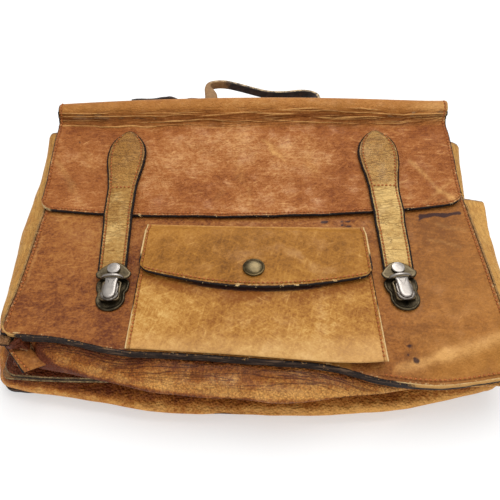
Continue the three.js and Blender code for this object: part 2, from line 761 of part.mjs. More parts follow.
// Bar across the top of the case, flat on the flap's top wall, with clipped ends
function handleBarSolid() {
  const { half, low, high, lean, thickness, up, clip } = HANDLE_BAR;
  const rows = [
    { along: -half, inset: clip },
    { along: clip - half, inset: 0 },
    { along: half - clip, inset: 0 },
    { along: half, inset: clip },
  ];
  const face = (depth) =>
    rows.map(({ along, inset }) => {
      const rise = (-lean * along) / half;
      const levels = spread(low + inset + rise, high - inset + rise, 3);
      return levels.map((level) => point(along + FLAP_CENTRE, up + GAP + depth, level));
    });
  return wallBetween(face(thickness), face(0));
}

// Handle: a flat strap on edge, its width upright, carried along a smooth line
function handleSolid() {
  const curve = new THREE.CatmullRomCurve3(HANDLE_LINE.map((row) => point(row.across, row.up, row.level)));
  const upright = new THREE.Vector3(0, 0, 1);
  const faces = [1, -1].map((side) =>
    spread(0, 1, HANDLE_STEPS).map((share) => {
      const along = curve.getTangentAt(share).setZ(0).normalize();
      const sideways = new THREE.Vector3().crossVectors(along, upright);
      const middle = curve.getPointAt(share).addScaledVector(sideways, (side * HANDLE.thickness) / 2);
      return spread(-HANDLE.width / 2, HANDLE.width / 2, 2).map((rise) =>
        middle.clone().addScaledVector(upright, rise),
      );
    }),
  );
  return wallBetween(...faces);
}

function leather(color) {
  return new THREE.MeshStandardMaterial({ color, roughness: 0.6, metalness: 0 });
}

function metal(color) {
  return new THREE.MeshStandardMaterial({ color, roughness: 0.35, metalness: 1 });
}

const briefcase = new THREE.Group();
const body = new THREE.Group();
body.position.y = -CASE_HEIGHT / 2;
briefcase.add(body);

function addPiece(name, geometry, material, parent = body) {
  const mesh = new THREE.Mesh(geometry, material);
  mesh.name = name;
  parent.add(mesh);
  return mesh;
}

const frontRows = [0, SEAM, ...SIDE_ROWS, FRONT_HEIGHT];
const innerRows = [0, SEAM, ...SIDE_ROWS, ...UPPER_ROWS, INNER_HEIGHT];
const backRows = [0, SEAM, CASE_HEIGHT / 2, CASE_HEIGHT];
const gussetLeather = leather(LEATHER.gusset);
addPiece("back_panel", panelSolid(BACK_PANEL, backRows), leather(LEATHER.front));
addPiece("inner_wall", panelSolid(INNER_WALL, innerRows), leather(LEATHER.front));
addPiece("front_panel", panelSolid(FRONT_PANEL, frontRows), leather(LEATHER.front));
const backSideRows = [...SIDE_ROWS, ...UPPER_ROWS];
const backGussetRows = {
  left: backSideRows,
  right: backSideRows.filter((up) => up <= BACK_GUSSET_HEIGHT.right),
};
const frontGussetRows = { left: SIDE_ROWS, right: SIDE_ROWS };
addPiece("back_gusset", gussetSolid(INNER_WALL, BACK_PANEL, backGussetRows, BACK_FOLD), gussetLeather);
addPiece("front_gusset", gussetSolid(FRONT_PANEL, INNER_WALL, frontGussetRows, FRONT_FOLD), gussetLeather);
addPiece("flap", flapSolid(), leather(LEATHER.front));
addPiece("pocket", pocketSolid(), leather(LEATHER.pocket));
addPiece("pocket_flap", pocketFlapSolid(), leather(LEATHER.pocket));

const snap = addPiece("snap_cap", capSolid(SNAP), metal(METAL.bronze));
snap.position.set(SNAP.across, SNAP.up, pocketFlapLevel(SNAP.across, SNAP.up) + BED);

for (const side of ["left", "right"]) {
  addPiece(`strap_${side}`, strapSolid(STRAPS[side]), leather(LEATHER.strap));
  const lock = new THREE.Group();
  const { across, lean } = LOCKS[side];
  const middle = LOCK_FOOT + LOCK_PLATE.to / 2;
  lock.position.set(across, LOCK_FOOT, frontLevel(across, middle) + BED + GAP);
  lock.rotation.z = lean;
  body.add(lock);
  addPiece(`lock_plate_${side}`, lockPlateSolid(), metal(METAL.bronze), lock);
  addPiece(`lock_hasp_${side}`, haspSolid(), metal(METAL.bronze), lock);
  addPiece(`lock_slider_${side}`, sliderSolid(), metal(METAL.silver), lock);
  const rivet = addPiece(`lock_rivet_${side}`, capSolid(RIVET), metal(METAL.silver), lock);
  rivet.position.set(0, RIVET.up, HASP_PLATE.underside + HASP_PLATE.thickness + GAP);
}

addPiece("handle_bar", handleBarSolid(), leather(LEATHER.dark));
addPiece("handle", handleSolid(), leather(LEATHER.dark));

export default briefcase;
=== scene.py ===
"""A worn leather briefcase lying on its back with its flap closed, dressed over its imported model.

Shapes are worked out in millimetres in the case's own terms: "across" from the middle line, "up" from
the bottom seam towards the handle, and "level" from the underside of the back. to_row() turns them into
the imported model's metres.
"""
import math

import bpy
import numpy as np
from mathutils import Matrix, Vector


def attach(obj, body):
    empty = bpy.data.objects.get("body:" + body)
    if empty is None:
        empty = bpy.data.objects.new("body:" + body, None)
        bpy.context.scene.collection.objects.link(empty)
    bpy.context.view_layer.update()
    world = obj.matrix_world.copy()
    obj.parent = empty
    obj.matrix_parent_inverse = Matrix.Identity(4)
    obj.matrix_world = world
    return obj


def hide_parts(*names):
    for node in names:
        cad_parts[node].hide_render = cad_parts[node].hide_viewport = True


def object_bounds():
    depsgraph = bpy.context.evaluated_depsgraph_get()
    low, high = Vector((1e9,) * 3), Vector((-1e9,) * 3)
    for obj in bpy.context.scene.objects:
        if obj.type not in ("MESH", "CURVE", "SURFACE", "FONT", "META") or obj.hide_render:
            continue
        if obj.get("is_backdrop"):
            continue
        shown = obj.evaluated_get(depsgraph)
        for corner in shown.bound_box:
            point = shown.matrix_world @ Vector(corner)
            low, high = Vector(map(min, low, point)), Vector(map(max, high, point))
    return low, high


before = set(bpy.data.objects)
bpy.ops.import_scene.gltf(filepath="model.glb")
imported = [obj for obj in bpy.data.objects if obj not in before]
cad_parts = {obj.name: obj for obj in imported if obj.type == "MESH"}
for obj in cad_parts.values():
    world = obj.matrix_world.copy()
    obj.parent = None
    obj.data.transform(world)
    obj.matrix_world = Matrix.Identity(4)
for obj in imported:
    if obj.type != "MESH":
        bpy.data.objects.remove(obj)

CAD_BOX = [list(corner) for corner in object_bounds()]
BODY = "bag"
MM = 0.001


def table(columns, *rows):
    """A short table as named columns; the first column is the one that it is read by."""
    return dict(zip(columns.split(), np.array(rows, float).T))


# Driving dimensions, as in the solids
CASE_HEIGHT = 281
HALF = 190
FRONT_LEVEL, FRONT_HEIGHT = 57, 178
FRONT_SAG, FRONT_SAG_FOOT, FRONT_SAG_FULL = 4, 0.3, 130
INNER_LEVEL, INNER_HEIGHT, INNER_CLIMB, INNER_CURVE = 28, 272, 43, 2.4
FRONT_GUSSET_TOPS, BACK_GUSSET_TOPS = (175, 175), (264, 251)
DROOP_LENGTH, CLIMB_FADE = 50, 130
SEAM, GAP = 8, 0.35
BED = 2 * GAP
INNER_SHIFT, BACK_SHIFT, BACK_HALF = -3, -8, 194
PANEL, INNER, GUSSET, FLAP, STRAP, POCKET, POCKET_FLAP = 2.8, 2, 1.8, 3, 3, 2.2, 2.6
GUSSET_RADIUS, GUSSET_TURN, FOLD_ROUNDNESS = 11, 3.8, 0.8
FRONT_CORNER = 3
GUSSET_LINES = np.array([0.26, 0.44, 0.56, 0.74])

FRONT_EDGE = table(
    "across climb lift",
    (-190, 20, 3), (-145, 16, 3), (-100, 7, 1), (-54, 4.6, 0), (0, 0.4, 0),
    (60, -5, -3), (92, -12.5, -8), (125, -15, -12), (190, -8, -11),
)
# A soft ridge across the drooping lower right of the front
FOOT_RIDGE = table(
    "across row height", (80, 8, 0), (104, 10, 1.2), (140, 19, 2.6), (170, 25, 3), (190, 29, 2.6)
)
FOOT_RIDGE_WIDTH = 9
INNER_EDGE = table("across climb", (-190, 3), (-150, 0), (-100, -1), (0, 0), (100, -4), (190, -1))
BACK_EDGE = table("across climb", (-190, 5), (0, 0), (190, 5))

FRONT_FOLD = {
    "left": table("up reach crest", (0, -12, 0.5), (60, -20, 0.5), (175, -20, 0.5)),
    "bottom": table(
        "across reach crest",
        (-190, -6, 0.5), (-120, 8, 0.55), (-64, 17, 0.6), (0, 22, 0.6),
        (40, 20, 0.6), (84, 11, 0.55), (120, 2, 0.5), (190, 5, 0.5),
    ),
    "right": table("up reach crest", (0, 8, 0.5), (50, 14, 0.45), (97, 16, 0.45), (175, 21, 0.45)),
}
BACK_FOLD = {
    "left": table(
        "up reach crest",
        (0, 2, 0.5), (60, 17, 0.5), (100, 21, 0.42), (180, 23, 0.33), (215, 19, 0.26), (264, 16, 0.08),
    ),
    "bottom": table(
        "across reach crest",
        (-190, 1, 0.5), (-150, 5, 0.5), (-67, 18, 0.5), (0, 21, 0.5),
        (63, 20, 0.5), (124, 15, 0.5), (190, 1, 0.5),
    ),
    "right": table("up reach crest", (0, 1, 0.5), (90, 12, 0.42), (187, 16, 0.3), (251, 17, 0.08)),
}

FLAP_PROFILE = table(
    "up level sag bow",
    (148, 61, 1, 0), (162, 61.6, 1, 0), (182, 64.5, 0.9, 0), (208, 70.5, 0.7, 0), (234, 76.5, 0.4, 0),
    (257, 81.5, 0.2, 0.1), (260, 87, 0.1, 0.5), (264, 92.5, 0, 0.9), (270, 95.5, 0, 1), (277, 93, 0, 1),
    (281, 85, 0, 0.7), (282, 48, 0, 0.2), (282, 10, 0, 0),
    (279.5, 5, 0, 0), (275, 3.3, 0, 0), (269, 3.3, 0, 0),
)
ROLL_BOW_UP, ROLL_BOW_LEVEL = 3.5, 4
ROLL_FLARE_REACH, ROLL_FLARE_RISE, ROLL_FLARE_POWER = 2.5, 2.5, 12
FLAP_EDGE = table("across climb", (-191, 3), (-130, 0), (90, 0), (150, 4), (191, 10))
FLAP_EDGE_FADE, FLAP_CENTRE, FLAP_HALF, FLAP_CORNER = 48, -3, 191, 14

STRAP_OUTLINE = table(
    "up half",
    (75, 12.4), (94, 12.8), (120, 13.2), (132, 13.4), (148, 13.8), (162, 14), (176, 14.4), (190, 16.4),
    (204, 19), (216, 19.2), (227, 15.6), (233, 11), (237.4, 6.3), (239.8, 3), (240.6, 0.5),
)
STRAPS = {
    "left": (0.95, table("up middle", (75, -116), (145, -121.5), (240, -121))),
    "right": (1.0, table("up middle", (75, 116), (110, 117.5), (240, 116))),
}
STRAP_STEP, STRAP_FOOT, STRAP_TOP, STRAP_NECK = 16, 75, 240.6, 176
STRAP_CROWN = 0.5

POCKET_LEFT, POCKET_RIGHT = -95, 95
POCKET_FOOT = table("across up", (-95, 8), (-54, 5.4), (0, 1.2), (32, -1.7), (56, -3.7), (74, -4), (95, -3))
POCKET_MOUTH, POCKET_TOP = (123, 117), (137, 131)
POCKET_DEPTH, POCKET_ARCH, POCKET_RISE = 5.5, 0.7, 0.6
POCKET_TIP_ENDS, POCKET_TIP_MIDDLE, POCKET_TIP_LEAN = 77, 59, 7
POCKET_FLAP_CORNER, POCKET_FLAP_LIFT = 9, 1.2

SNAP_ACROSS, SNAP_UP, SNAP_RADIUS, SNAP_HEIGHT = -1, 77.8, 8.8, 2.8
LOCK_FOOT, LOCK_LENGTH, LOCK_MIDDLE = 41, 33, 22
LOCKS = {"left": (-113.3, 0.012), "right": (118, 0.09)}
RIVET_UP, RIVET_RADIUS, RIVET_HEIGHT = 39, 5.35, 2.2
HASP_UNDER, HASP_THICKNESS = 4, 1.6

BAR_HALF, BAR_LOW, BAR_HIGH, BAR_LEAN, BAR_THICKNESS, BAR_UP = 122, 58, 87, 3, 3, 282
HANDLE_WIDTH, HANDLE_THICKNESS = 9, 3.8
HANDLE_LINE = table(
    "step across up level",
    (0, -66, 288, 75), (1, -55, 288.6, 75), (2, -50, 298, 76), (3, -51, 315, 77), (4, -47, 323, 78),
    (5, -34, 325.8, 77.8), (6, -20, 324.6, 75.6), (7, 3, 320.6, 71), (8, 18, 319.6, 68.4),
    (9, 34, 320.2, 67.8), (10, 48, 322.6, 67.8), (11, 59, 319.5, 68.8), (12, 65.5, 311, 71),
    (13, 67, 300, 73), (14, 71, 288.6, 74), (15, 83, 288, 74),
)

# The camera of the photograph, a square frame: lens on a 36 mm sensor, place in metres, angles in degrees
LENS, SENSOR = 40.95, 36
CAMERA_PLACE = (0.00094, -0.35522, 0.41264)
CAMERA_PITCH, CAMERA_YAW, CAMERA_ROLL = 48.025, -0.933, -0.885


# Numbers on arrays

def read(rows, column, at):
    """Smooth reading of a table: cubic pieces through its rows, with the slope of its neighbours at each."""
    axis = next(iter(rows.values()))
    value = rows[column]
    slope = np.gradient(value, axis)
    at = np.clip(at, axis[0], axis[-1])
    row = np.clip(np.searchsorted(axis, at, side="right") - 1, 0, len(axis) - 2)
    width = axis[row + 1] - axis[row]
    share = (at - axis[row]) / width
    start = value[row] * (2 * share**3 - 3 * share**2 + 1)
    start = start + slope[row] * width * (share**3 - 2 * share**2 + share)
    end = value[row + 1] * (3 * share**2 - 2 * share**3) + slope[row + 1] * width * (share**3 - share**2)
    return start + end


def ease(value, low, high):
    """From 0 at low to 1 at high, with level ends."""
    share = np.clip((value - low) / (high - low), 0, 1)
    return share * share * (3 - 2 * share)


def lerp(first, second, share):
    """From first to second in proportion to a share."""
    return first + (second - first) * share


def points(across, up, level):
    """Places from three coordinates, spread to one shape."""
    return np.stack(np.broadcast_arrays(across, up, level), -1).astype(float)


def to_row(place):
    """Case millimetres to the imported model's metres, whose origin is half way up the back."""
    return (place - np.array([0, CASE_HEIGHT / 2, 0])) * MM


def unit(vectors):
    """Vectors of length one in the same directions."""
    return vectors / np.maximum(np.linalg.norm(vectors, axis=-1, keepdims=True), 1e-9)


def ripple(x, y, size, seed):
    """Smooth noise from -1 to 1: random heights on a square lattice of that size, eased between corners."""
    heights = np.random.default_rng(seed).uniform(-1, 1, (97, 97))
    u, v = x / size + 40.3, y / size + 40.7
    i, j = np.floor(u).astype(int), np.floor(v).astype(int)
    a, b = ease(u - i, 0, 1), ease(v - j, 0, 1)
    corner = lambda di, dj: heights[(i + di) % 97, (j + dj) % 97]
    return lerp(lerp(corner(0, 0), corner(1, 0), a), lerp(corner(0, 1), corner(1, 1), a), b)


def strokes(rows, across, up):
    """Strength at a place of the strokes in a table: each fades away from its segment as a bell curve."""
    total = np.zeros(np.broadcast(across, up).shape)
    for x0, y0, x1, y1, width, strength in zip(*rows.values()):
        dx, dy = x1 - x0, y1 - y0
        share = np.clip(((across - x0) * dx + (up - y0) * dy) / (dx * dx + dy * dy), 0, 1)
        wander = 1.5 * ripple(across, up, 9, 5)
        away = np.hypot(across - x0 - share * dx + wander, up - y0 - share * dy + wander)
        total = total + strength * np.exp(-((away / width) ** 2))
    return total


def lines(first, last, step, rim=1.5):
    """Grid lines from first to last, about a step apart, and close together at both ends, where the
    edge is round."""
    close = rim * np.array([0, 0.08, 0.3, 0.62])
    inner = np.linspace(first + rim, last - rim, max(2, int(round((last - first) / step))))
    return np.concatenate([first + close, inner, last - close[::-1]])


# Faces of the leather pieces

RELIEF = table("size height seed", (58, 0.55, 1), (23, 0.3, 2), (9, 0.12, 3))
CALM_SPOTS = [(across, LOCK_FOOT + LOCK_MIDDLE) for across, _ in LOCKS.values()] + [(SNAP_ACROSS, SNAP_UP)]
CALM_RADIUS = 26


def relief(across, up):
    """Soft hills and dents that all the layers of the front share, calm where metal lies on it."""
    layers = zip(*RELIEF.values())
    hills = sum(height * ripple(across, up, size, int(seed)) for size, height, seed in layers)
    for x, y in CALM_SPOTS:
        hills = hills * (1 - np.exp(-((across - x) ** 2 + (up - y) ** 2) / CALM_RADIUS**2))
    return hills


def climb_at(edge, across, row):
    """How far a wandering lower edge moves a row, fading with height."""
    return read(edge, "climb", across) * (1 - ease(row, SEAM, CLIMB_FADE))


def corner_lift(across, half, radius):
    """Height of a quarter round above the lower edge, near each end of it."""
    side = np.clip(np.abs(across) - (half - radius), 0, radius)
    return radius - np.sqrt(radius**2 - side**2)


class Panel:
    """A sewn panel: gives the place of its columns and rows, over a lower edge that wanders."""

    def __init__(self, edge, level, thickness, shift=0, half=HALF, corner=GUSSET_RADIUS):
        self.edge, self.level, self.thickness = edge, level, thickness
        self.shift, self.half, self.corner = shift, half, corner

    def place(self, across, row, depth=0):
        """The place of a column and row, at a depth under the outer face."""
        up = row + climb_at(self.edge, across, row)
        return points(self.shift + across * self.half / HALF, up, self.level(across, row) - depth)

    def face(self, across, row):
        """The outer face, with its lower corners rounded off."""
        corner = corner_lift(across, HALF, self.corner) * np.clip(1 - row / self.corner, 0, 1)
        return self.place(across, row + corner)


def front_lift(across, row):
    """How far the front lifts or droops at a row."""
    return read(FRONT_EDGE, "lift", across) * (1 - ease(row, 0, DROOP_LENGTH))


def front_ridge(across, row):
    """A ridge along the table's rows: a bell curve across it."""
    away = (row - read(FOOT_RIDGE, "row", across)) / FOOT_RIDGE_WIDTH
    return read(FOOT_RIDGE, "height", across) * np.exp(-(away**2))


def front_row_level(across, row):
    """The front sags in its middle and droops at its foot."""
    sag = FRONT_SAG * (1 - (across / HALF) ** 2) * lerp(FRONT_SAG_FOOT, 1, ease(row, 0, FRONT_SAG_FULL))
    level = FRONT_LEVEL - sag + front_lift(across, row) + front_ridge(across, row)
    return level + relief(across, row) * ease(row, 0, 25)


def front_row(across, up):
    """The row of the front that lies at a place, from a few steps of correction."""
    row = up
    for _ in range(5):
        row = up - climb_at(FRONT_EDGE, across, row)
    return row


def front_level(across, up):
    """Level of the front's outer face at a place."""
    return front_row_level(across, front_row(across, up))


def inner_row_level(across, row):
    """The inner wall climbs towards its top as a power of its height."""
    return INNER_LEVEL + INNER_CLIMB * np.clip(row / INNER_HEIGHT, 0, None) ** INNER_CURVE + 0 * across


FRONT_PANEL = Panel(FRONT_EDGE, front_row_level, PANEL, corner=FRONT_CORNER)
INNER_WALL = Panel(INNER_EDGE, inner_row_level, INNER, INNER_SHIFT)
BACK_PANEL = Panel(BACK_EDGE, lambda across, row: PANEL + 0 * across * row, PANEL, BACK_SHIFT, BACK_HALF)


def seam_path(tops, fold=None, step=2.5):
    """Stations round three sides of the case: sewn edge, outward direction, and the fold's reach and
    crest. Each corner is a quarter round."""
    quarter, radius = math.pi / 2, GUSSET_RADIUS
    up, up_right = (np.linspace(top, radius, int((tops[0] - radius) / step))[:-1] for top in tops)
    turn = np.linspace(0, quarter, 9)
    along = np.linspace(radius - HALF, HALF - radius, int(2 * HALF / step))[1:-1]
    none = np.zeros_like(up)
    flat = np.zeros_like(along)

    def corner(sign, angle):
        """Points of a quarter round, and its outward directions."""
        outward = np.stack([sign * np.cos(angle), -np.sin(angle)], -1)
        return np.array([sign * (HALF - radius), radius]) + radius * outward, outward

    left, left_out = corner(-1, turn)
    right, right_out = corner(1, turn[::-1])
    edge = [np.stack([none - HALF, up], -1), left, np.stack([along, flat], -1), right]
    edge.append(np.stack([none + HALF, up_right[::-1]], -1))
    outward = [np.stack([none - 1, none], -1), left_out, np.stack([flat, flat - 1], -1), right_out]
    outward.append(np.stack([none + 1, none], -1))
    path = {"edge": np.concatenate(edge), "outward": np.concatenate(outward)}
    if fold:
        for column in ("reach", "crest"):
            ends = [read(fold[side], column, radius) for side in ("left", "right")]
            foot = [read(fold["bottom"], column, sign * (HALF - radius)) for sign in (-1, 1)]
            path[column] = np.concatenate([
                read(fold["left"], column, up),
                lerp(ends[0], foot[0], turn / quarter),
                read(fold["bottom"], column, along),
                lerp(ends[1], foot[1], turn[::-1] / quarter),
                read(fold["right"], column, up_right[::-1]),
            ])
    return path


def curve_weights(count, samples):
    """Weights of a smooth curve through a row of control points, by evenly spaced samples."""
    axis = np.arange(count, dtype=float)
    at = np.linspace(0, count - 1, samples)
    single = lambda k: {"axis": axis, "one": (axis == k).astype(float)}
    return np.stack([read(single(k), "one", at) for k in range(count)], -1)


def gusset_grid(upper, lower, tops, fold, samples=97):
    """Middle of a gusset: at each station a border under the upper panel, a fold, and a border on the
    lower panel. The fold's free top is drawn down in a round, and wrinkles run along it."""
    path = seam_path(tops, fold)
    edge, border = path["edge"], path["edge"] - SEAM * path["outward"]
    under = upper.thickness + GAP
    upper_edge = upper.place(edge[:, 0], edge[:, 1], under)
    upper_border = upper.place(border[:, 0], border[:, 1], under)
    lower_edge = lower.place(edge[:, 0], edge[:, 1], -GAP)
    lower_border = lower.place(border[:, 0], border[:, 1], -GAP)
    outward = lower_edge - lower_border
    outward[:, 2] = 0
    outward = unit(outward)
    flat = lambda place, drop: np.stack([((place - lower_border) * outward).sum(-1), place[:, 2] - drop], -1)
    first, last = flat(upper_border, GUSSET_TURN), flat(lower_border, -GUSSET_TURN)
    tip = path["reach"] + np.where(path["reach"] > 0, SEAM, 0)
    share = GUSSET_LINES[None] ** (np.log(path["crest"]) / np.log(0.5))[:, None]
    middle = lerp(first[:, None], last[:, None], share[..., None])
    middle[..., 0] += tip[:, None] * np.sin(np.pi * GUSSET_LINES) ** FOLD_ROUNDNESS
    ends = [flat(upper_edge, GUSSET / 2), flat(upper_border, GUSSET / 2), first]
    starts = [last, flat(lower_border, -GUSSET / 2), flat(lower_edge, -GUSSET / 2)]
    control = np.concatenate([np.stack(ends, 1), middle, np.stack(starts, 1)], 1)
    section = np.einsum("mk,skc->smc", curve_weights(control.shape[1], samples), control)
    grid = lower_border[:, None] + outward[:, None] * section[..., :1]
    grid[..., 2] = section[..., 1]
    out = np.clip(section[..., 0] / np.maximum(tip, 1)[:, None], 0, 1) * (tip > 0)[:, None]
    below = np.where(edge[:, 0] < 0, tops[0], tops[1]) - edge[:, 1]
    grid[..., 1] -= 3 * out**4 * np.clip(1 - below / 22, 0, 1)[:, None] ** 2
    along = np.cumsum(np.linalg.norm(np.diff(edge, axis=0, prepend=edge[:1]), axis=-1))[:, None]
    down = lengths(grid, 1)
    free = ease(down, SEAM, SEAM + 8) * ease(down[:, -1:] - down, SEAM, SEAM + 8)
    slant = along * 0.12
    creases = 0.9 * ripple(along * 0.16, down + slant, 7, 11)
    creases = creases + 0.5 * ripple(along * 0.3, down - slant, 4.2, 12)
    dents = 1.1 * ripple(along * 0.7, down, 21, 13)
    thin = (1 - np.abs(ripple(along * 0.05, down + slant * 0.3, 6, 14))) ** 6
    thin = thin * (0.6 + 0.4 * ripple(along * 0.3, down, 17, 15))
    drawn = 0.7 * creases + dents - 1.8 * thin * (1 - ease(down, 13, 20))
    return grid + grid_normals(grid) * (free * drawn)[..., None]


def flap_line(step=0.5):
    """The flap's profile as a smooth line, sampled evenly along its length."""
    length = np.hypot(np.diff(FLAP_PROFILE["up"]), np.diff(FLAP_PROFILE["level"]))
    rows = {"along": np.concatenate([[0], np.cumsum(length)]), **FLAP_PROFILE}
    along = np.arange(0, rows["along"][-1], step)
    return {"along": along, **{key: read(rows, key, along) for key in FLAP_PROFILE}}


FLAP_LINE = flap_line()
FLAP_LENGTH = FLAP_LINE["along"][-1]
ROLL_FOOT = 257
FLAP_FRONT = FLAP_LINE["up"].searchsorted(ROLL_FOOT)
PLEATS = table(
    "along height width rise",
    (104.6, 0.6, 1.1, 1.5), (107.2, 0.9, 0.7, 2.5), (109.4, 1.1, 0.6, -2),
    (111.2, 1.3, 0.55, 1.2), (113, 1.4, 0.5, 2.4), (114.8, 1.5, 0.55, -1.8),
    (116.7, 1.5, 0.5, 1), (118.6, 1.4, 0.6, -1.4), (121, 1.0, 0.8, 0.8),
)
FLAP_DENTS = table(
    "x0 y0 x1 y1 width strength",
    (-152, 252, -124, 246, 4, -0.9), (-96, 246, -112, 252, 4, -0.8), (-104, 244, -92, 226, 4, -0.7),
    (98, 250, 112, 244, 4, -0.9), (128, 246, 146, 256, 4, -0.9), (138, 232, 136, 190, 3.2, -1.0),
    (156, 226, 138, 200, 3, 0.8), (60, 232, 92, 220, 4, 0.7), (40, 214, 84, 196, 4, -0.8),
    (20, 196, 60, 182, 4, 0.6), (-60, 222, -20, 204, 5, -0.8), (-10, 200, 8, 168, 3, 0.6),
    (70, 180, 96, 168, 4, -0.7), (-84, 190, -50, 178, 5, 0.6), (-176, 226, -160, 214, 4, -0.6),
)


def flap_relief(across, up):
    """The front's relief, with the flap's own dents and small waves."""
    hills = 2.0 * relief(across, up) * (1 - ease(up, 262, 280)) + 1.3 * strokes(FLAP_DENTS, across, up)
    return hills + 0.35 * ripple(across * 0.35, up, 6.5, 21) * ease(up, 152, 170) * (1 - ease(up, 250, 262))


def roll_pleats(across, along):
    """Thin pleats that run along the foot of the roll, each wandering and dying out in places."""
    height = 0 * across * along
    for row, tall, width, rise in zip(*PLEATS.values()):
        seed, flat = int(row), along * 0
        wander = rise * across / FLAP_HALF + 1.5 * ripple(across, flat, 46, seed)
        wander = wander + 0.6 * ripple(across, flat, 12, seed + 7)
        strength = np.clip(0.45 + 0.9 * ripple(across, flat, 30, seed + 1), 0, 1.2)
        height = height + tall * strength * np.exp(-(((along - row - wander) / width) ** 2))
    return height


def flap_face(across, along):
    """Outer face of the flap: its profile carried across, with rounded lower corners and a bowed roll."""
    row = {key: np.interp(along, FLAP_LINE["along"], FLAP_LINE[key]) for key in FLAP_PROFILE}
    above = np.where(along < FLAP_LINE["along"][FLAP_FRONT], row["up"] - FLAP_PROFILE["up"][0], 1e3)
    corner = corner_lift(across, FLAP_HALF, FLAP_CORNER) * np.clip(1 - above / FLAP_CORNER, 0, 1)
    climb = corner + read(FLAP_EDGE, "climb", across) * np.clip(1 - above / FLAP_EDGE_FADE, 0, 1)
    ends = (across / FLAP_HALF) ** 2
    sag = FRONT_SAG * row["sag"] * (1 - ends) + ROLL_BOW_LEVEL * row["bow"] * ends
    flare = row["bow"] * np.clip(across / FLAP_HALF, 0, None) ** ROLL_FLARE_POWER
    up = row["up"] + climb - ROLL_BOW_UP * row["bow"] * ends + ROLL_FLARE_RISE * flare
    front = 1 - ease(along, 128, 140)
    pleat = roll_pleats(across, along)
    level = row["level"] - sag + front * flap_relief(across + FLAP_CENTRE, up) + 0.55 * pleat
    return points(across + FLAP_CENTRE + ROLL_FLARE_REACH * flare, up - 0.8 * pleat, level)


def flap_level(across, up):
    """Level of the flap's front at a place."""
    front = {key: FLAP_LINE[key][:FLAP_FRONT] for key in FLAP_PROFILE}
    middle = 1 - ((across - FLAP_CENTRE) / FLAP_HALF) ** 2
    sag = FRONT_SAG * np.interp(up, front["up"], front["sag"]) * middle
    return np.interp(up, front["up"], front["level"]) - sag + flap_relief(across, up)


def strap_bed(across, up):
    """Level under a strap: the flap, then a step down over its edge to the front."""
    edge = FLAP_PROFILE["up"][0]
    on_flap = ease(up, edge - STRAP_STEP, edge - 1)
    return lerp(front_level(across, up), flap_level(across, np.maximum(up, edge)), on_flap)


def strap_face(side):
    """Outer face of a strap: its outline about a middle line, laid on what is under it, with a low crown."""
    width, line = STRAPS[side]

    def face(share, up):
        across = read(line, "middle", up) + share * width * read(STRAP_OUTLINE, "half", up)
        return points(across, up, strap_bed(across, up) + BED + STRAP + STRAP_CROWN * (1 - share**2))

    return face


def pocket_share(across):
    """Share of the way across the pocket."""
    return (across - POCKET_LEFT) / (POCKET_RIGHT - POCKET_LEFT)


def pocket_edge(edge, across):
    """Height of a straight slanting edge, from its two ends."""
    return lerp(edge[0], edge[1], pocket_share(across))


def pocket_level(across, up):
    """Outer face of the pocket: flat on the front at its sewn sides, full at its mouth, and stiff where the
    front droops away under its foot."""
    foot = read(POCKET_FOOT, "up", across)
    height = np.clip((up - foot) / (pocket_edge(POCKET_MOUTH, across) - foot), 0, 1)
    arch = np.sin(np.pi * np.clip(pocket_share(across), 0, 1))
    fullness = POCKET_DEPTH * np.clip(arch, 0, 1) ** POCKET_ARCH * height**POCKET_RISE
    row = front_row(across, up)
    bed = front_row_level(across, row) - np.minimum(0, front_lift(across, row))
    return bed + BED + POCKET + fullness


def pocket_face(across, share):
    """Outer face of the pocket, by its share of the way from foot to mouth."""
    up = lerp(read(POCKET_FOOT, "up", across), pocket_edge(POCKET_MOUTH, across), share)
    return points(across, up, pocket_level(across, up))


def pocket_tip(across):
    """Lower edge of the pocket's flap: a shallow bow with rounded corners."""
    share = pocket_share(across)
    bow = (POCKET_TIP_ENDS - POCKET_TIP_MIDDLE) * (2 * share - 1) ** 2
    middle = (POCKET_LEFT + POCKET_RIGHT) / 2
    corner = corner_lift(across - middle, (POCKET_RIGHT - POCKET_LEFT) / 2, POCKET_FLAP_CORNER)
    return POCKET_TIP_MIDDLE + bow + corner + POCKET_TIP_LEAN * (0.5 - share)


def pocket_flap_level(across, up):
    """The pocket's flap lies on the front above the pocket, then over its mouth."""
    mouth = pocket_edge(POCKET_MOUTH, across) + BED
    on_front = ease(up, mouth, pocket_edge(POCKET_TOP, across) - 2)
    over = pocket_level(across, np.minimum(up, mouth)) + POCKET_FLAP_LIFT
    return lerp(over, front_level(across, up), on_front) + BED + POCKET_FLAP


def pocket_flap_face(across, share):
    """Outer face of the pocket's flap, by its share of the way from its bowed edge to its top."""
    up = lerp(pocket_tip(across), pocket_edge(POCKET_TOP, across), share)
    return points(across, up, pocket_flap_level(across, up))


# Meshes from arrays

def grid_faces(index, turned=False):
    """The quads of a grid of vertex numbers."""
    quads = np.stack([index[:-1, :-1], index[:-1, 1:], index[1:, 1:], index[1:, :-1]], -1).reshape(-1, 4)
    return quads[:, ::-1] if turned else quads


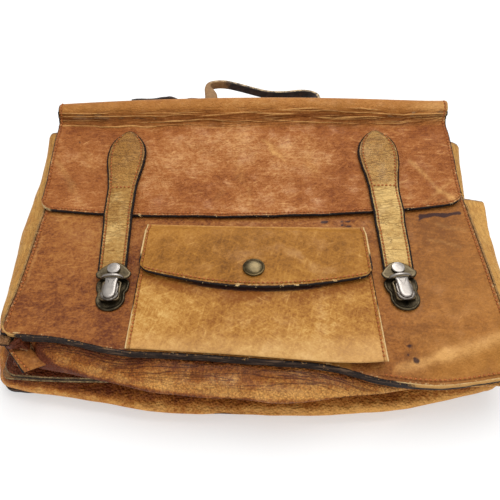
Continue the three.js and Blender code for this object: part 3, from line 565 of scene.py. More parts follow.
def make_piece(name, place, faces, finish, body=BODY, slot=None, nodes=(), marks=None, lay=None):
    """A smooth mesh object at the origin from points in case millimetres, riding on a body."""
    mesh = bpy.data.meshes.new(name)
    mesh.from_pydata(to_row(place).tolist(), [], faces)
    mesh.polygons.foreach_set("use_smooth", np.ones(len(mesh.polygons), bool))
    for key, values in (marks or {}).items():
        attribute = mesh.attributes.new(key, "FLOAT", "POINT")
        attribute.data.foreach_set("value", np.asarray(values, np.float32).ravel())
    if lay is not None:
        corners = np.empty(len(mesh.loops), np.int32)
        mesh.loops.foreach_get("vertex_index", corners)
        uv = mesh.uv_layers.new(name="lay")
        uv.data.foreach_set("uv", lay[corners].astype(np.float32).ravel())
    mesh.materials.append(finish)
    mesh.update()
    piece = bpy.data.objects.new(name, mesh)
    bpy.context.scene.collection.objects.link(piece)
    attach(piece, body)
    if nodes:
        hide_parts(*nodes)


def grid_normals(grid):
    """Unit normals of a grid of points, from the two directions along it."""
    return unit(np.cross(np.gradient(grid, axis=1), np.gradient(grid, axis=0)))


def lengths(grid, axis):
    """Distance along a grid's lines from their start."""
    step = np.linalg.norm(np.diff(grid, axis=axis), axis=-1)
    pad = [(0, 0), (0, 0)]
    pad[axis] = (1, 0)
    return np.cumsum(np.pad(step, pad), axis=axis)


def sheet(name, grid, thickness, finish, outward=(0, 0, 1), centred=False, marks=None, **ways):
    """A leather sheet on a grid of its outer face, or of its middle. The two faces lie half a thickness to
    each side of the middle along the normal, and draw together in a half round at the cut edge."""
    normal = grid_normals(grid)
    normal = normal if (normal * np.asarray(outward)).sum(-1).mean() > 0 else -normal
    half = thickness / 2
    along, over = lengths(grid, 0), lengths(grid, 1)
    edge = np.minimum(np.minimum(along, along[-1:] - along), np.minimum(over, over[:, -1:] - over))
    middle = grid if centred else grid - normal * half
    lift = half * np.sqrt(1 - (1 - np.clip(edge / half, 0, 1)) ** 2)
    front = (middle + normal * lift[..., None]).reshape(-1, 3)
    back = (middle - normal * lift[..., None])[1:-1, 1:-1].reshape(-1, 3)
    rows, columns = edge.shape
    index = np.arange(rows * columns).reshape(rows, columns)
    behind = index.copy()
    behind[1:-1, 1:-1] = rows * columns + np.arange((rows - 2) * (columns - 2)).reshape(rows - 2, columns - 2)
    a, b, d = front[index[1, 1]], front[index[1, 2]], front[index[2, 1]]
    turned = np.dot(np.cross(b - a, d - a), normal[1, 1]) < 0
    faces = np.concatenate([grid_faces(index, turned), grid_faces(behind, not turned)]).tolist()
    both = lambda values: np.concatenate([values.ravel(), values[1:-1, 1:-1].ravel()])
    given = {"edge": edge, **{key: value + 0 * edge for key, value in (marks or {}).items()}}
    kept = {key: both(value) for key, value in given.items()}
    kept["inside"] = np.concatenate([np.zeros(rows * columns), np.ones((rows - 2) * (columns - 2))])
    lay = np.stack([both(over), both(along)], -1) * MM
    make_piece(name, np.concatenate([front, back]), faces, finish, marks=kept, lay=lay, **ways)


def ring_faces(rings, count):
    """Quads between closed rings of points, and fans that close the first and last at two more points."""
    index = np.arange(rings * count).reshape(-1, count)
    index = np.concatenate([index, index[:, :1]], 1)
    first, last = index.max() + 1, index.max() + 2
    fan = lambda ring, pole: np.stack([ring[:-1], ring[1:], np.full(count, pole)], -1)
    caps = np.concatenate([fan(index[0, ::-1], first), fan(index[-1], last)])
    return grid_faces(index), caps


def carried(path, side, rise, section):
    """A closed profile carried along a path: its first coordinate along side, its second along rise, with
    a point that closes each end. The profile may change along the path."""
    section = np.broadcast_to(section, (len(path), *section.shape[-2:]))
    rings = path[:, None] + section[..., :1] * side[:, None] + section[..., 1:] * rise[:, None]
    faces, caps = ring_faces(*rings.shape[:2])
    place = np.concatenate([rings.reshape(-1, 3), rings[:1].mean(1), rings[-1:].mean(1)])
    volume = np.einsum("fi,fi->", place[faces[:, 0]], np.cross(place[faces[:, 1]], place[faces[:, 2]]))
    if volume < 0:
        faces, caps = faces[:, ::-1], caps[:, ::-1]
    return place, faces.tolist() + caps.tolist()


def turned_plate(outline, rings):
    """A plate or cap on an outline round the origin: each ring is the outline drawn in by an inset along its
    normal, then shrunk by a share, at a level. The first and last rings close at a point."""
    ahead, behind = np.roll(outline, -1, 0), np.roll(outline, 1, 0)
    normal = unit(np.stack([(ahead - behind)[:, 1], -(ahead - behind)[:, 0]], -1))
    centre = outline.mean(0)
    drawn = lambda inset, share: centre + (outline - normal * inset - centre) * share
    loops = [points(*drawn(inset, share).T, level) for inset, share, level in rings]
    faces, caps = ring_faces(len(loops), len(outline))
    poles = np.array([[*centre, rings[0][2]], [*centre, rings[-1][2]]])
    return np.concatenate([*loops, poles]), faces.tolist() + caps.tolist()


def joined(*shapes):
    """Several shapes as one."""
    offset, place, faces = 0, [], []
    for shape_place, shape_faces in shapes:
        place.append(shape_place)
        faces.extend([[corner + offset for corner in face] for face in shape_faces])
        offset += len(shape_place)
    return np.concatenate(place), faces


def rounded_profile(width, height, radius, steps=4):
    """A rectangle with round corners, as a closed loop."""
    angle = np.linspace(0, math.pi / 2, steps)
    quarter = np.stack([np.cos(angle), np.sin(angle)], -1) * radius
    turns = [(1, 1, 1), (-1, 1, -1), (-1, -1, 1), (1, -1, -1)]
    centre = np.array([width / 2 - radius, height / 2 - radius])
    return np.concatenate([quarter[::step] * (sx, sy) + centre * (sx, sy) for sx, sy, step in turns])


def sideways(path):
    """Directions square to a path and to the upright."""
    return unit(np.cross(unit(np.gradient(path, axis=0)), [0.0, 0, 1]))


def spaced(path, pitch):
    """Points an even pitch apart along a path, as places between its own points."""
    length = np.concatenate([[0], np.cumsum(np.linalg.norm(np.diff(path, axis=0), axis=-1))])
    at = np.arange(pitch / 2, length[-1], pitch)
    return np.stack([np.interp(at, length, path[:, k]) for k in range(3)], -1), at / length[-1]


STITCH_RINGS = np.array([-1, -0.82, -0.35, 0.35, 0.82, 1])
STITCH_SIDES = 6


def stitch_run(face, first, second, pitch=3.6, length=2.6, radius=0.72):
    """A row of stitches on a face along a path of its two parameters. Each is a bead, long along the path,
    whose ends dip into the leather: radius falls to the ends, and the middle stands proud."""
    step = 0.02
    path = face(first, second)
    normal = unit(np.cross(face(first + step, second) - path, face(first, second + step) - path))
    normal = np.where(normal[:, 2:] < 0, -normal, normal)
    centre, share = spaced(path, pitch)
    whole = np.concatenate([[0], np.cumsum(np.linalg.norm(np.diff(path, axis=0), axis=-1))])
    along = whole / whole[-1]
    at_stitch = lambda way: unit(np.stack([np.interp(share, along, way[:, k]) for k in range(3)], -1))
    up, ahead = at_stitch(normal), at_stitch(np.gradient(path, axis=0))
    side = np.cross(up, ahead)
    angle = np.arange(STITCH_SIDES) * 2 * math.pi / STITCH_SIDES
    t = STITCH_RINGS[:, None]
    thick = radius * np.sqrt(np.clip(1.02 - t**4, 0.02, 1))
    local = np.stack(np.broadcast_arrays(
        t * length / 2,
        thick * np.cos(angle),
        thick * np.sin(angle) + radius * (0.75 - 1.5 * t**2),
    ), -1).reshape(-1, 3)
    place = centre[:, None] + local[:, :1] * ahead[:, None]
    place = place + local[:, 1:2] * side[:, None] + local[:, 2:] * up[:, None]
    index = np.arange(len(STITCH_RINGS) * STITCH_SIDES).reshape(-1, STITCH_SIDES)
    around = np.concatenate([index, index[:, :1]], 1)
    offset = np.arange(len(centre))[:, None, None] * index.size
    quads = (grid_faces(around, True)[None] + offset).reshape(-1, 4).tolist()
    ends = np.stack([index[0], index[-1, ::-1]])
    return place.reshape(-1, 3), quads + (ends[None] + offset).reshape(-1, STITCH_SIDES).tolist()


# Finishes

def srgb(red, green, blue):
    """A colour as seen, from 0 to 255, as linear red, green, blue and alpha."""
    share = np.array([red, green, blue]) / 255
    return (*np.where(share <= 0.04045, share / 12.92, ((share + 0.055) / 1.055) ** 2.4).tolist(), 1.0)


class Reading:
    """A socket's output in a finish. Arithmetic on it adds Math nodes."""

    def __init__(self, finish, socket):
        self.finish, self.socket = finish, socket

    def math(self, operation, first, second):
        """A Math node on two values."""
        return self.finish.node("ShaderNodeMath", {"operation": operation}, {0: first, 1: second})

    def __add__(self, other):
        return self.math("ADD", self, other)

    def __sub__(self, other):
        return self.math("SUBTRACT", self, other)

    def __rsub__(self, other):
        return self.math("SUBTRACT", other, self)

    def __mul__(self, other):
        return self.math("MULTIPLY", self, other)

    __radd__, __rmul__ = __add__, __mul__

    def most(self, other):
        """The larger of two values."""
        return self.math("MAXIMUM", self, other)

    def away(self, centre):
        """Distance from a value, to either side."""
        return self.math("ABSOLUTE", self - centre, 0.0)

    def step(self, low, high):
        """From 0 at low to 1 at high, with level ends."""
        sockets = {"Value": self, "From Min": low, "From Max": high}
        return self.finish.node("ShaderNodeMapRange", {"interpolation_type": "SMOOTHSTEP"}, sockets)


class Finish:
    """A material being made: node() adds any node, and surface() ends it."""

    def __init__(self, name):
        self.material = bpy.data.materials.new(name)
        self.material.use_nodes = True
        self.tree = self.material.node_tree
        self.tree.nodes.clear()

    def node(self, kind, settings=None, sockets=None, output=0):
        """A node with its settings, and with values or readings at its sockets."""
        node = self.tree.nodes.new(kind)
        for key, value in (settings or {}).items():
            setattr(node, key, value)
        for key, value in (sockets or {}).items():
            if isinstance(value, Reading):
                self.tree.links.new(value.socket, node.inputs[key])
            else:
                node.inputs[key].default_value = value
        return Reading(self, node.outputs[output])

    def place(self, longer=(1, 1, 1), turn=0.0):
        """The object's own coordinates, turned and then drawn out for a pattern that runs one way."""
        at = self.node("ShaderNodeTexCoord", output="Object")
        if longer == (1, 1, 1) and not turn:
            return at
        sockets = {"Vector": at, "Scale": longer, "Rotation": (0, 0, turn)}
        return self.node("ShaderNodeMapping", {"vector_type": "TEXTURE"}, sockets)

    def lay(self, longer=(1, 1, 1)):
        """The piece's own lengths across and along it, drawn out in the same way."""
        at = self.node("ShaderNodeUVMap", {"uv_map": "lay"})
        return self.node("ShaderNodeMapping", {"vector_type": "TEXTURE"}, {"Vector": at, "Scale": longer})

    def noise(self, at, size, detail=3.0, roughness=0.55, twist=0.0):
        """Noise with features of about that size in millimetres."""
        sockets = {"Vector": at, "Scale": 1 / (size * MM), "Detail": detail}
        sockets.update({"Roughness": roughness, "Distortion": twist})
        return self.node("ShaderNodeTexNoise", sockets=sockets)

    def cells(self, at, size, feature="F1"):
        """Cells of about that size in millimetres."""
        sockets = {"Vector": at, "Scale": 1 / (size * MM)}
        return self.node("ShaderNodeTexVoronoi", {"feature": feature}, sockets)

    def warp(self, at, size, reach):
        """Coordinates pushed about by a noise of that size, over a reach in millimetres."""
        sockets = {"Vector": at, "Scale": 1 / (size * MM), "Detail": 2.0}
        push = self.node("ShaderNodeTexNoise", sockets=sockets, output=1)
        sockets = {0: push, 1: (reach * MM,) * 3, 2: at}
        return self.node("ShaderNodeVectorMath", {"operation": "MULTIPLY_ADD"}, sockets)

    def mark(self, name):
        """A mark that is kept with the piece's points, or 0 where it has none."""
        return self.node("ShaderNodeAttribute", {"attribute_name": name}, output="Fac")

    def mix(self, share, first, second):
        """A colour between two, by a share."""
        return self.node("ShaderNodeMix", {"data_type": "RGBA"}, {0: share, 6: first, 7: second}, output=2)

    def bump(self, height, depth):
        """A bump of that depth in millimetres for a height from 0 to 1."""
        sockets = {"Height": height, "Distance": depth * MM, "Strength": 1.0}
        return self.node("ShaderNodeBump", sockets=sockets)

    def surface(self, **sockets):
        """Ends the material with a Principled surface, and returns it."""
        names = {key.replace("_", " ").title().replace("Ior", "IOR"): value for key, value in sockets.items()}
        shader = self.node("ShaderNodeBsdfPrincipled", sockets=names)
        output = self.tree.nodes.new("ShaderNodeOutputMaterial")
        self.tree.links.new(shader.socket, output.inputs["Surface"])
        return self.material


EDGE_BLACK, EDGE_CREAM = srgb(30, 22, 20), srgb(206, 174, 122)
# SCUFF_AND_HIGHLIGHT colours pale scuffs and painted highlights; STAIN_AND_SHADOW colours stains and a
# painted shadow
SCUFF_AND_HIGHLIGHT, STAIN_AND_SHADOW, SUEDE, SUEDE_PALE = srgb(208, 156, 92), srgb(44, 26, 30), srgb(128, 90, 56), srgb(154, 114, 76)
GOLD_TAN = srgb(178, 122, 54)


WRINKLES = {"soft": ((1.8, 1, 1), 0.2), "across": ((3.3, 1, 1), 0), "gathered": ((1, 3.6, 1), 0)}


def worn_hide(name, deep, mid, light, paint=1.2, groove=3.4, wrinkle="soft", chips=0.6, rim=0.62,
              fibre=0.35, depth=1.0, pebble=1.5, net=0.4, spots=0.5, blotch=0.6,
              turns=(0.45, 1.3, -0.6), folds=(1, 13, 1), tan=GOLD_TAN):
    """Worn vegetable-tanned leather: tone mottled in four sizes, dirt in a net of creases, fine scratches
    and pebbled grain. Its marks place long fold lines, pale scuffs and painted highlights, dark stains and a
    painted shadow, and tan patches, and its shade mark paints shade or light in places. The cut
    edge has black paint rubbed to cream, and the sheen comes in patches."""
    f = Finish(name)
    at = f.place()
    bent = f.warp(at, 12, 9)
    cloud = f.noise(at, 60, 2, 0.5)
    mottle = f.noise(bent, 17, 4, 0.6)
    fleck = f.noise(bent, 4.2, 3, 0.7)
    fine = f.noise(at, 1.9, 2, 0.7)
    hairs = [f.noise(f.place((7, 0.8, 1), turn), 2.6, 2, 0.6) for turn in turns]
    hair = hairs[0].most(hairs[1]).most(hairs[2])
    # The shade mark moves the tone darker or lighter; in places this is painted shade or painted light
    tone = (cloud - 0.5) * 0.8 + (mottle - 0.5) * blotch + (fleck - 0.5) * spots
    tone = tone + (fine - 0.5) * spots + (hair - 0.61) * fibre * 1.6 + 0.5 + f.mark("shade")
    colour = f.mix(tone.step(0.05, 0.58), deep, mid)
    colour = f.mix(tone.step(0.42, 0.95), colour, light)
    colour = f.mix(f.mark("tan") * (0.4 + mottle * 0.8), colour, tan)
    scratch = hair.step(0.64, 0.76) * mottle.step(0.35, 0.6) * fibre
    # The pale mark gives scuffs, and painted highlights on ridges, the roll's top and the pocket's foot
    scuff_and_highlight = (f.mark("pale") * (0.1 + fleck * 1.1 + fine * 0.5)).most(scratch)
    colour = f.mix(scuff_and_highlight.step(0.05, 1.0) * 0.85, colour, SCUFF_AND_HIGHLIGHT)
    stretch, turn = WRINKLES[wrinkle]
    run = f.place(stretch, turn) if wrinkle == "soft" else f.lay(stretch)
    wave = f.noise(run, 10, 3, 0.6)
    small = f.cells(f.warp(run, 3.5, 2.6), 3.4, "DISTANCE_TO_EDGE")
    crackle = (1 - small.step(0.0, 0.2)) * wave.step(0.4, 0.62)
    crease = (1 - wave.away(0.47).step(0.0, 0.025)) * mottle.step(0.4, 0.62)
    dirt = crease.most(crackle) * net
    fold = (1 - f.noise(f.lay(folds), 5, 3, 0.5).away(0.5).step(0.0, 0.035)) * f.mark("fold")
    colour = f.mix((dirt * 0.6).most(fold), colour, deep)
    # The dark mark gives stains, and the painted shadow under the pocket flap's lip
    stain_and_shadow = f.mark("dark") * (0.3 + fleck * 1.3)
    colour = f.mix(stain_and_shadow.step(0.25, 0.75) * 0.9, colour, STAIN_AND_SHADOW)
    edge = f.mark("edge")
    chip = f.noise(at, 4.5, 4, 0.75)
    ragged = edge + (fleck - 0.5) * 1.2 + (fine - 0.5) * 0.6
    valley = (1 - edge.away(groove).step(0.1, 0.8)) * (1 - f.mark("plain"))
    colour = f.mix(((1 - ragged.step(1.0, 5.0)) * 0.35).most(valley * 0.65), colour, deep)
    ridge = (1 - ragged.away(paint + 0.7).step(0.1, 0.8)) * chip.step(rim - 0.08, rim + 0.02)
    colour = f.mix(ridge * 0.75, colour, EDGE_CREAM)
    painted = 1 - ragged.step(paint * 0.8, paint * 1.1)
    bare = chip.step(chips + 0.03, chips + 0.08).most(f.mark("raw") * (0.5 + fleck))
    colour = f.mix(painted, colour, f.mix(bare.step(0.3, 0.8), EDGE_BLACK, EDGE_CREAM))
    inside = f.mark("inside") * edge.step(paint, paint * 1.5)
    colour = f.mix(inside, colour, f.mix(mottle, SUEDE, SUEDE_PALE))
    grain = f.cells(at, pebble) * (0.3 + f.mark("grain"))
    colour = f.mix(grain.step(0.3, 0.9) * 0.4, colour, deep)
    height = wave * 0.9 + mottle * 0.6 + fleck * 0.5 + hair * fibre * 0.5
    height = height - dirt * 0.4 - valley * 0.4 - grain * 1.3 - fold * 0.7
    sheen = (mottle.step(0.45, 0.8) * 0.25 + f.mark("grain") * 0.25) * (1 - painted) * (1 - inside)
    roughness = 0.55 + (mottle - 0.5) * 0.3
    return f.surface(base_color=colour, roughness=roughness, normal=f.bump(height, depth),
                     specular_ior_level=0.12, coat_weight=sheen, coat_roughness=0.34)


def edge_paint(name):
    """Thick black edge paint, cracked along its length and chipped to the pale leather."""
    f = Finish(name)
    at = f.place()
    chip = f.noise(at, 3, 5, 0.75)
    fine = f.noise(at, 1.4, 3, 0.65)
    crack = f.noise(f.place((10, 2.5, 0.7)), 1.8, 3, 0.6)
    rim = f.mark("rim")
    colour = f.mix(fine.step(0.3, 0.75), srgb(14, 10, 10), srgb(50, 36, 30))
    colour = f.mix(crack.step(0.52, 0.68) * 0.85, colour, srgb(98, 76, 58))
    colour = f.mix((f.mark("raw") * (0.4 + fine + chip)).step(0.5, 1.0), colour, srgb(176, 132, 74))
    colour = f.mix((chip + rim * 0.07 + (fine - 0.5) * 0.3).step(0.64, 0.72), colour, srgb(150, 112, 66))
    height = crack * 0.7 + fine * 0.3 + chip * 0.4
    return f.surface(base_color=colour, roughness=0.62 + fine * 0.2, normal=f.bump(height, 1.0),
                     specular_ior_level=0.25)


def dark_strap(name):
    """Dark greased leather, its edges rubbed to pale tan in chips and its worn end brown."""
    f = Finish(name)
    at = f.place()
    patch = f.noise(at, 7, 4, 0.65)
    chip = f.noise(at, 4, 4, 0.75)
    fine = f.noise(at, 1.4, 3, 0.65)
    colour = f.mix(patch.step(0.35, 0.7), srgb(20, 14, 13), srgb(58, 40, 30))
    brown = f.mark("brown") * (0.4 + chip * 0.9) + (fine - 0.5) * 0.4
    colour = f.mix(brown.step(0.35, 0.8), colour, f.mix(chip, srgb(96, 62, 30), srgb(164, 124, 76)))
    rub = f.mark("rub") * (0.2 + chip * 1.1) + (fine - 0.5) * 0.5
    colour = f.mix(rub.step(0.62, 0.82), colour, srgb(184, 158, 118))
    folds = f.noise(f.place((1.7, 1.7, 0.7)), 5, 4, 0.6, 0.8)
    height = folds * 0.7 + fine * 0.4
    return f.surface(base_color=colour, roughness=0.55 + patch * 0.25, normal=f.bump(height, 1.2))


def old_metal(name, dull, bright, worn, roughness):
    """Plated metal gone dull: tarnish in clouds, brighter where its rims are rubbed, with fine scratches."""
    f = Finish(name)
    at = f.place()
    cloud = f.noise(at, 5, 4, 0.65)
    fine = f.noise(f.place((1, 8, 1), 0.6), 0.7, 3, 0.6)
    rub = f.mark("rub")
    colour = f.mix(cloud.step(0.35, 0.7), dull, bright)
    colour = f.mix(rub * (0.5 + cloud * 0.7), colour, worn)
    gloss = roughness + (cloud - 0.5) * 0.25 + (fine - 0.5) * 0.12
    height = cloud * 0.5 + fine * 0.5
    return f.surface(base_color=colour, metallic=1.0, roughness=gloss, normal=f.bump(height, 0.08))


def thread(name, colour, dark):
    """Sewing thread, darker between its twists."""
    f = Finish(name)
    twist = f.noise(f.place(), 0.8, 2, 0.5)
    tone = f.mix(twist.step(0.35, 0.65), dark, colour)
    return f.surface(base_color=tone, roughness=0.7, normal=f.bump(twist, 0.2))


def pale_floor(name):
    """White floor that glows a little, so that its shadows stay pale."""
    f = Finish(name)
    cloud = f.noise(f.place(), 400, 2)
    colour = f.mix(cloud, (0.58, 0.58, 0.58, 1), (0.6, 0.6, 0.6, 1))
    return f.surface(base_color=colour, roughness=0.9, emission_color=(1, 1, 1, 1), emission_strength=0.4)


FLAP_HIDE = worn_hide(
    "flap_hide", srgb(112, 56, 20), srgb(156, 93, 43), srgb(198, 144, 90),
    fibre=0.55, net=0.3, turns=(0.03, -0.1, 0.6), depth=1.5, folds=(13, 1, 1),
)
FRONT_HIDE = worn_hide(
    "front_hide", srgb(92, 44, 20), srgb(144, 86, 38), srgb(172, 118, 58),
    fibre=0.45, net=0.12, spots=0.75, turns=(0.2, -0.15, 0.9),
)
POCKET_HIDE = worn_hide(
    "pocket_hide", srgb(126, 72, 22), srgb(174, 122, 54), srgb(212, 170, 100),
    fibre=0.45, net=0.1, spots=0.55, blotch=0.55, tan=srgb(206, 164, 108),
)
TOP_HIDE = worn_hide(
    "pocket_flap_hide", srgb(106, 64, 18), srgb(152, 100, 36), srgb(182, 132, 60),
    paint=1.5, chips=0.57, fibre=0.5, net=0.1,
)
STRAP_HIDE = worn_hide(
    "strap_hide", srgb(104, 64, 26), srgb(162, 118, 58), srgb(212, 176, 110),
    paint=2.0, groove=3.6, wrinkle="across", chips=0.68, fibre=0.1, depth=1.8, net=0.85, spots=0.35,
)
NO_GROOVE = 900
GUSSET_HIDE = worn_hide(
    "gusset_hide", srgb(98, 42, 12), srgb(168, 100, 36), srgb(218, 158, 82),
    paint=0.9, groove=NO_GROOVE, wrinkle="gathered", chips=0.64, rim=0.64, fibre=0.1, depth=1.6, pebble=1.8,
    net=0.5, spots=0.6, blotch=0.8, tan=srgb(184, 144, 78),
)
EDGE_PAINT = edge_paint("edge_paint")
HANDLE_HIDE = dark_strap("handle_hide")
BRONZE = old_metal("aged_bronze", srgb(46, 40, 31), srgb(82, 72, 54), srgb(118, 104, 80), 0.42)
SNAP_BRONZE = old_metal("snap_bronze", srgb(60, 50, 32), srgb(98, 83, 55), srgb(134, 119, 90), 0.36)
NICKEL = old_metal("worn_nickel", srgb(82, 76, 70), srgb(126, 119, 111), srgb(164, 157, 150), 0.36)
RUST_THREAD = thread("rust_thread", srgb(190, 108, 40), srgb(122, 62, 20))
FLOOR_FINISH = pale_floor("floor_white")


# Marks of wear

FLAP_SCUFFS = table(
    "x0 y0 x1 y1 width strength",
    (8, 233, 27, 210, 2.6, 0.6), (-17, 252, -20, 238, 2, 0.35), (-6, 179, -2, 152, 3, 0.55),
    (146, 205, 179, 158, 3, 0.65), (152, 158, 181, 184, 2.8, 0.6), (-192, 212, -156, 160, 4.5, 0.5),
    (51, 236, 53, 200, 7, 0.3), (-30, 176, -36, 166, 4, 0.4), (-20, 226, -12, 186, 6, 0.25),
    (-120, 254, -112, 240, 2.5, 0.3), (118, 256, 140, 240, 2.5, 0.35), (165, 158, 188, 168, 6, 0.5),
    (24, 222, 62, 190, 12, 0.22), (-70, 216, -10, 196, 12, 0.16), (-164, 214, -152, 200, 9, 0.3),
)
FLAP_STAINS = table(
    "x0 y0 x1 y1 width strength", (-170, 231, -169, 228, 0.8, 0.9), (-44, 226, -43, 225, 0.7, 0.8)
)
# Pale scuffs on the front; the rows from (104, -4) to (190, 21) are a painted highlight along the foot's
# ridge
FRONT_SCUFFS_AND_HIGHLIGHTS = table(
    "x0 y0 x1 y1 width strength",
    (150, 118, 172, 108, 3, 0.4), (160, 136, 182, 128, 3, 0.4), (-30, 142, 34, 141, 2, 0.3),
    (-186, 60, -184, 120, 2.5, 0.4), (120, 34, 186, 46, 8, 0.2),
    (104, -4, 140, 7, 5, 0.7), (140, 7, 190, 21, 6, 0.75), (100, 24, 128, 18, 6, 0.2),
)
FRONT_STAINS = table(
    "x0 y0 x1 y1 width strength",
    (144, 140, 148, 146, 1.3, 1), (147, 146, 169, 147.4, 2.7, 1.2), (168, 147.4, 182, 149, 2.0, 1.1),
    (60, 141.4, 64, 141.4, 1.6, 1.2), (77, 142, 84, 142, 1.3, 1.2), (78, 138, 84, 136, 1.6, 1.2),
    (113, 13.4, 115, 13, 1.8, 1.1), (110, 8, 111.5, 6.8, 1.6, 0.9),
    (117, 3.4, 117.6, 2, 2.2, 1.2), (-40.5, 133, -39.5, 131, 1.1, 1),
)


def lay_front():
    """The front on a grid of its columns and rows, golden at its right and under the pocket."""
    column, row = np.meshgrid(lines(-HALF, HALF, 2.2), lines(0, FRONT_HEIGHT, 2.2))
    face = FRONT_PANEL.face(column, row)
    across, up = face[..., 0], face[..., 1]
    under_pocket = (1 - ease(row, 8, 13)) * (np.abs(across + 12) < 82)
    right = 0.6 * ease(across, 30, 190) * (1 - 0.4 * ease(up, 60, 150))
    droop = 0.25 * ease(across, 100, 140) * (1 - ease(up, 8, 30))
    # by_lock: painted shade, darker between the left lock and the pocket
    by_lock = 0.2 * np.exp(-(((across + 104) / 16) ** 2)) * (1 - ease(up, 90, 150))
    marks = {
        "plain": (1 - ease(across, 84, 92)) * (row < 9) * (np.abs(across) < 184),
        "pale": strokes(FRONT_SCUFFS_AND_HIGHLIGHTS, across, up),
        "dark": strokes(FRONT_STAINS, across, up),
        "tan": under_pocket + right + droop,
        "raw": ease(across, 88, 112) * (1 - ease(up, 10, 40)),
        "shade": -0.18 * ease(across, 60, 150) - by_lock,
    }
    sheet("front_panel_hide", face, PANEL, FRONT_HIDE, marks=marks, slot="leather_tan", nodes=["front_panel"])


def lay_walls():
    """The inner wall and the back, each on a grid of its columns and rows."""
    walls = (("inner_wall", INNER_WALL, INNER_HEIGHT), ("back_panel", BACK_PANEL, CASE_HEIGHT))
    for name, panel, height in walls:
        face = panel.face(*np.meshgrid(lines(-HALF, HALF, 5), lines(0, height, 5)))
        inner = name == "inner_wall"
        # The inner wall is painted lighter and more tan than the back: painted light where it lies in the
        # bulges' shadow
        marks = {"tan": 0.1 + 0.2 * inner, "raw": 0.35 * inner, "shade": 0.25 * inner}
        ways = {"marks": marks, "slot": "leather_tan", "nodes": [name]}
        sheet(f"{name}_hide", face, panel.thickness, FRONT_HIDE, **ways)


TAB_SHADE = table("x0 y0 x1 y1 width strength", (-175, 20, -164, 11, 4, 1), (-164, 11, -155, 5, 5, 1))


def lay_gussets():
    """Both gussets on grids of their stations: painted shade under the panels, in the crease between them and
    at the lower left, pale and tan up the sides.
    """
    for name, upper, lower, tops, fold in (
        ("back_gusset", INNER_WALL, BACK_PANEL, BACK_GUSSET_TOPS, BACK_FOLD),
        ("front_gusset", FRONT_PANEL, INNER_WALL, FRONT_GUSSET_TOPS, FRONT_FOLD),
    ):
        grid = gusset_grid(upper, lower, tops, fold)
        side = ease(np.abs(grid[..., 0]), 160, 195) * ease(grid[..., 1], 20, 60)
        share = np.linspace(0, 1, grid.shape[1])[None]
        front = name == "front_gusset"
        # Painted shade: under darkens just below the upper panel, crease_shade where each bulge tucks into
        # the crease between them, and left the lower left
        under = (1 - ease(share, 0.22, 0.38)) if front else 0
        crease_shade = ease(share, 0.42, 0.5) if front else 1 - ease(share, 0.3, 0.39)
        left = (1 - ease(grid[..., 0], -160, -70)) * (1 - ease(grid[..., 1], 30, 80))
        shade = (0.28 - 0.55 * under - 0.45 * crease_shade) * (1 - side) - 0.16 * left + 0.1 * side
        shade = shade + 0.1 * ease(grid[..., 0], 60, 150)
        # Painted shadow where the corner tab goes under the bulge's left fold
        shade = shade - 0.8 * front * strokes(TAB_SHADE, grid[..., 0], grid[..., 1]) * (1 - side)
        raw = 0.1 + 0.4 * (ease(share, 0.8, 0.9) if front else 1 - ease(share, 0.1, 0.2))
        if front:
            fold_lines = (1 - ease(share, 0.27, 0.4)) * (1 - side)
        else:
            fold_lines = 0.4 * ease(share, 0.5, 0.6) * (1 - side) + 0.22 * side
        grain = (0.75 if front else 0.3) * (1 - side)
        marks = {"pale": 0.15 * side, "tan": 0.75 * side, "raw": raw, "shade": shade, "grain": grain,
                 "fold": fold_lines}
        outward = grid - np.array([0, 140, 20])
        outward[..., 2] = 0
        ways = {"outward": outward, "centred": True, "slot": "leather_gusset", "nodes": [name]}
        sheet(f"{name}_hide", grid, GUSSET, GUSSET_HIDE, marks=marks, **ways)


PLEATS_FROM, PLEATS_TO = 103, 124
PLEAT_ROWS = np.arange(PLEATS_FROM, 124.2, 0.4)


def lay_flap():
    """The flap on a grid across and along it, with close rows where the pleats are. Painted highlights lie on
    the pleats' ridges and the roll's top, painted shade between the pleats, and a painted sheen across the
    flap's middle.
    """
    rows = lines(0, FLAP_LENGTH, 2.0)
    rows = np.sort(np.concatenate([rows[(rows < PLEATS_FROM) | (rows > PLEATS_TO)], PLEAT_ROWS]))
    over, along = np.meshgrid(lines(-FLAP_HALF, FLAP_HALF, 2.1), rows)
    face = flap_face(over, along)
    across, up = face[..., 0], face[..., 1]
    front = ease(face[..., 2], 30, 75)
    corners = 0.8 * ease(np.abs(across), 176, 186) * (1 - ease(up, 158, 172)) * front
    roll_end = 0.9 * ease(across, 172, 184) * ease(up, 256, 262)
    # Painted sheen: lighter across the flap's middle, darker towards its sides and top
    tone = 0.08 - 0.13 * ease(np.abs(across), 60, 170) - 0.06 * ease(up, 225, 250)
    # The roll's right end is worn pale; the bell at along 127 is a painted highlight on the roll's top
    worn_end_and_roll_highlight = 0.5 * ease(across, 130, 188) * ease(along, 104, 112)
    worn_end_and_roll_highlight = worn_end_and_roll_highlight + 0.22 * np.exp(-(((along - 127) / 4) ** 2))
    # Painted highlights on the pleats' ridges
    pleat_highlights = np.clip(roll_pleats(across - FLAP_CENTRE, along) - 0.3, 0, 1)
    marks = {
        "pale": strokes(FLAP_SCUFFS, across, up) * front + 1.6 * pleat_highlights + worn_end_and_roll_highlight * front,
        "dark": strokes(FLAP_STAINS, across, up) * front,
        "tan": (0.25 * ease(along, 100, 106) + 0.4 * ease(along, 114, 124)) * front,
        "fold": 0.55 * ease(along, 102, 106) * (1 - ease(along, 120, 126)),
        "raw": corners + roll_end,
        # The dip at along 114 is painted shade between the pleats
        "shade": tone - 0.18 * np.exp(-(((along - 114) / 6) ** 2)) * front,
    }
    outward = face - np.array([0, 240, 45])
    sheet("flap_hide", face, FLAP, FLAP_HIDE, outward, marks=marks, slot="leather_tan", nodes=["flap"])


POCKET_TALL, POCKET_FLAP_TALL = 115, 70


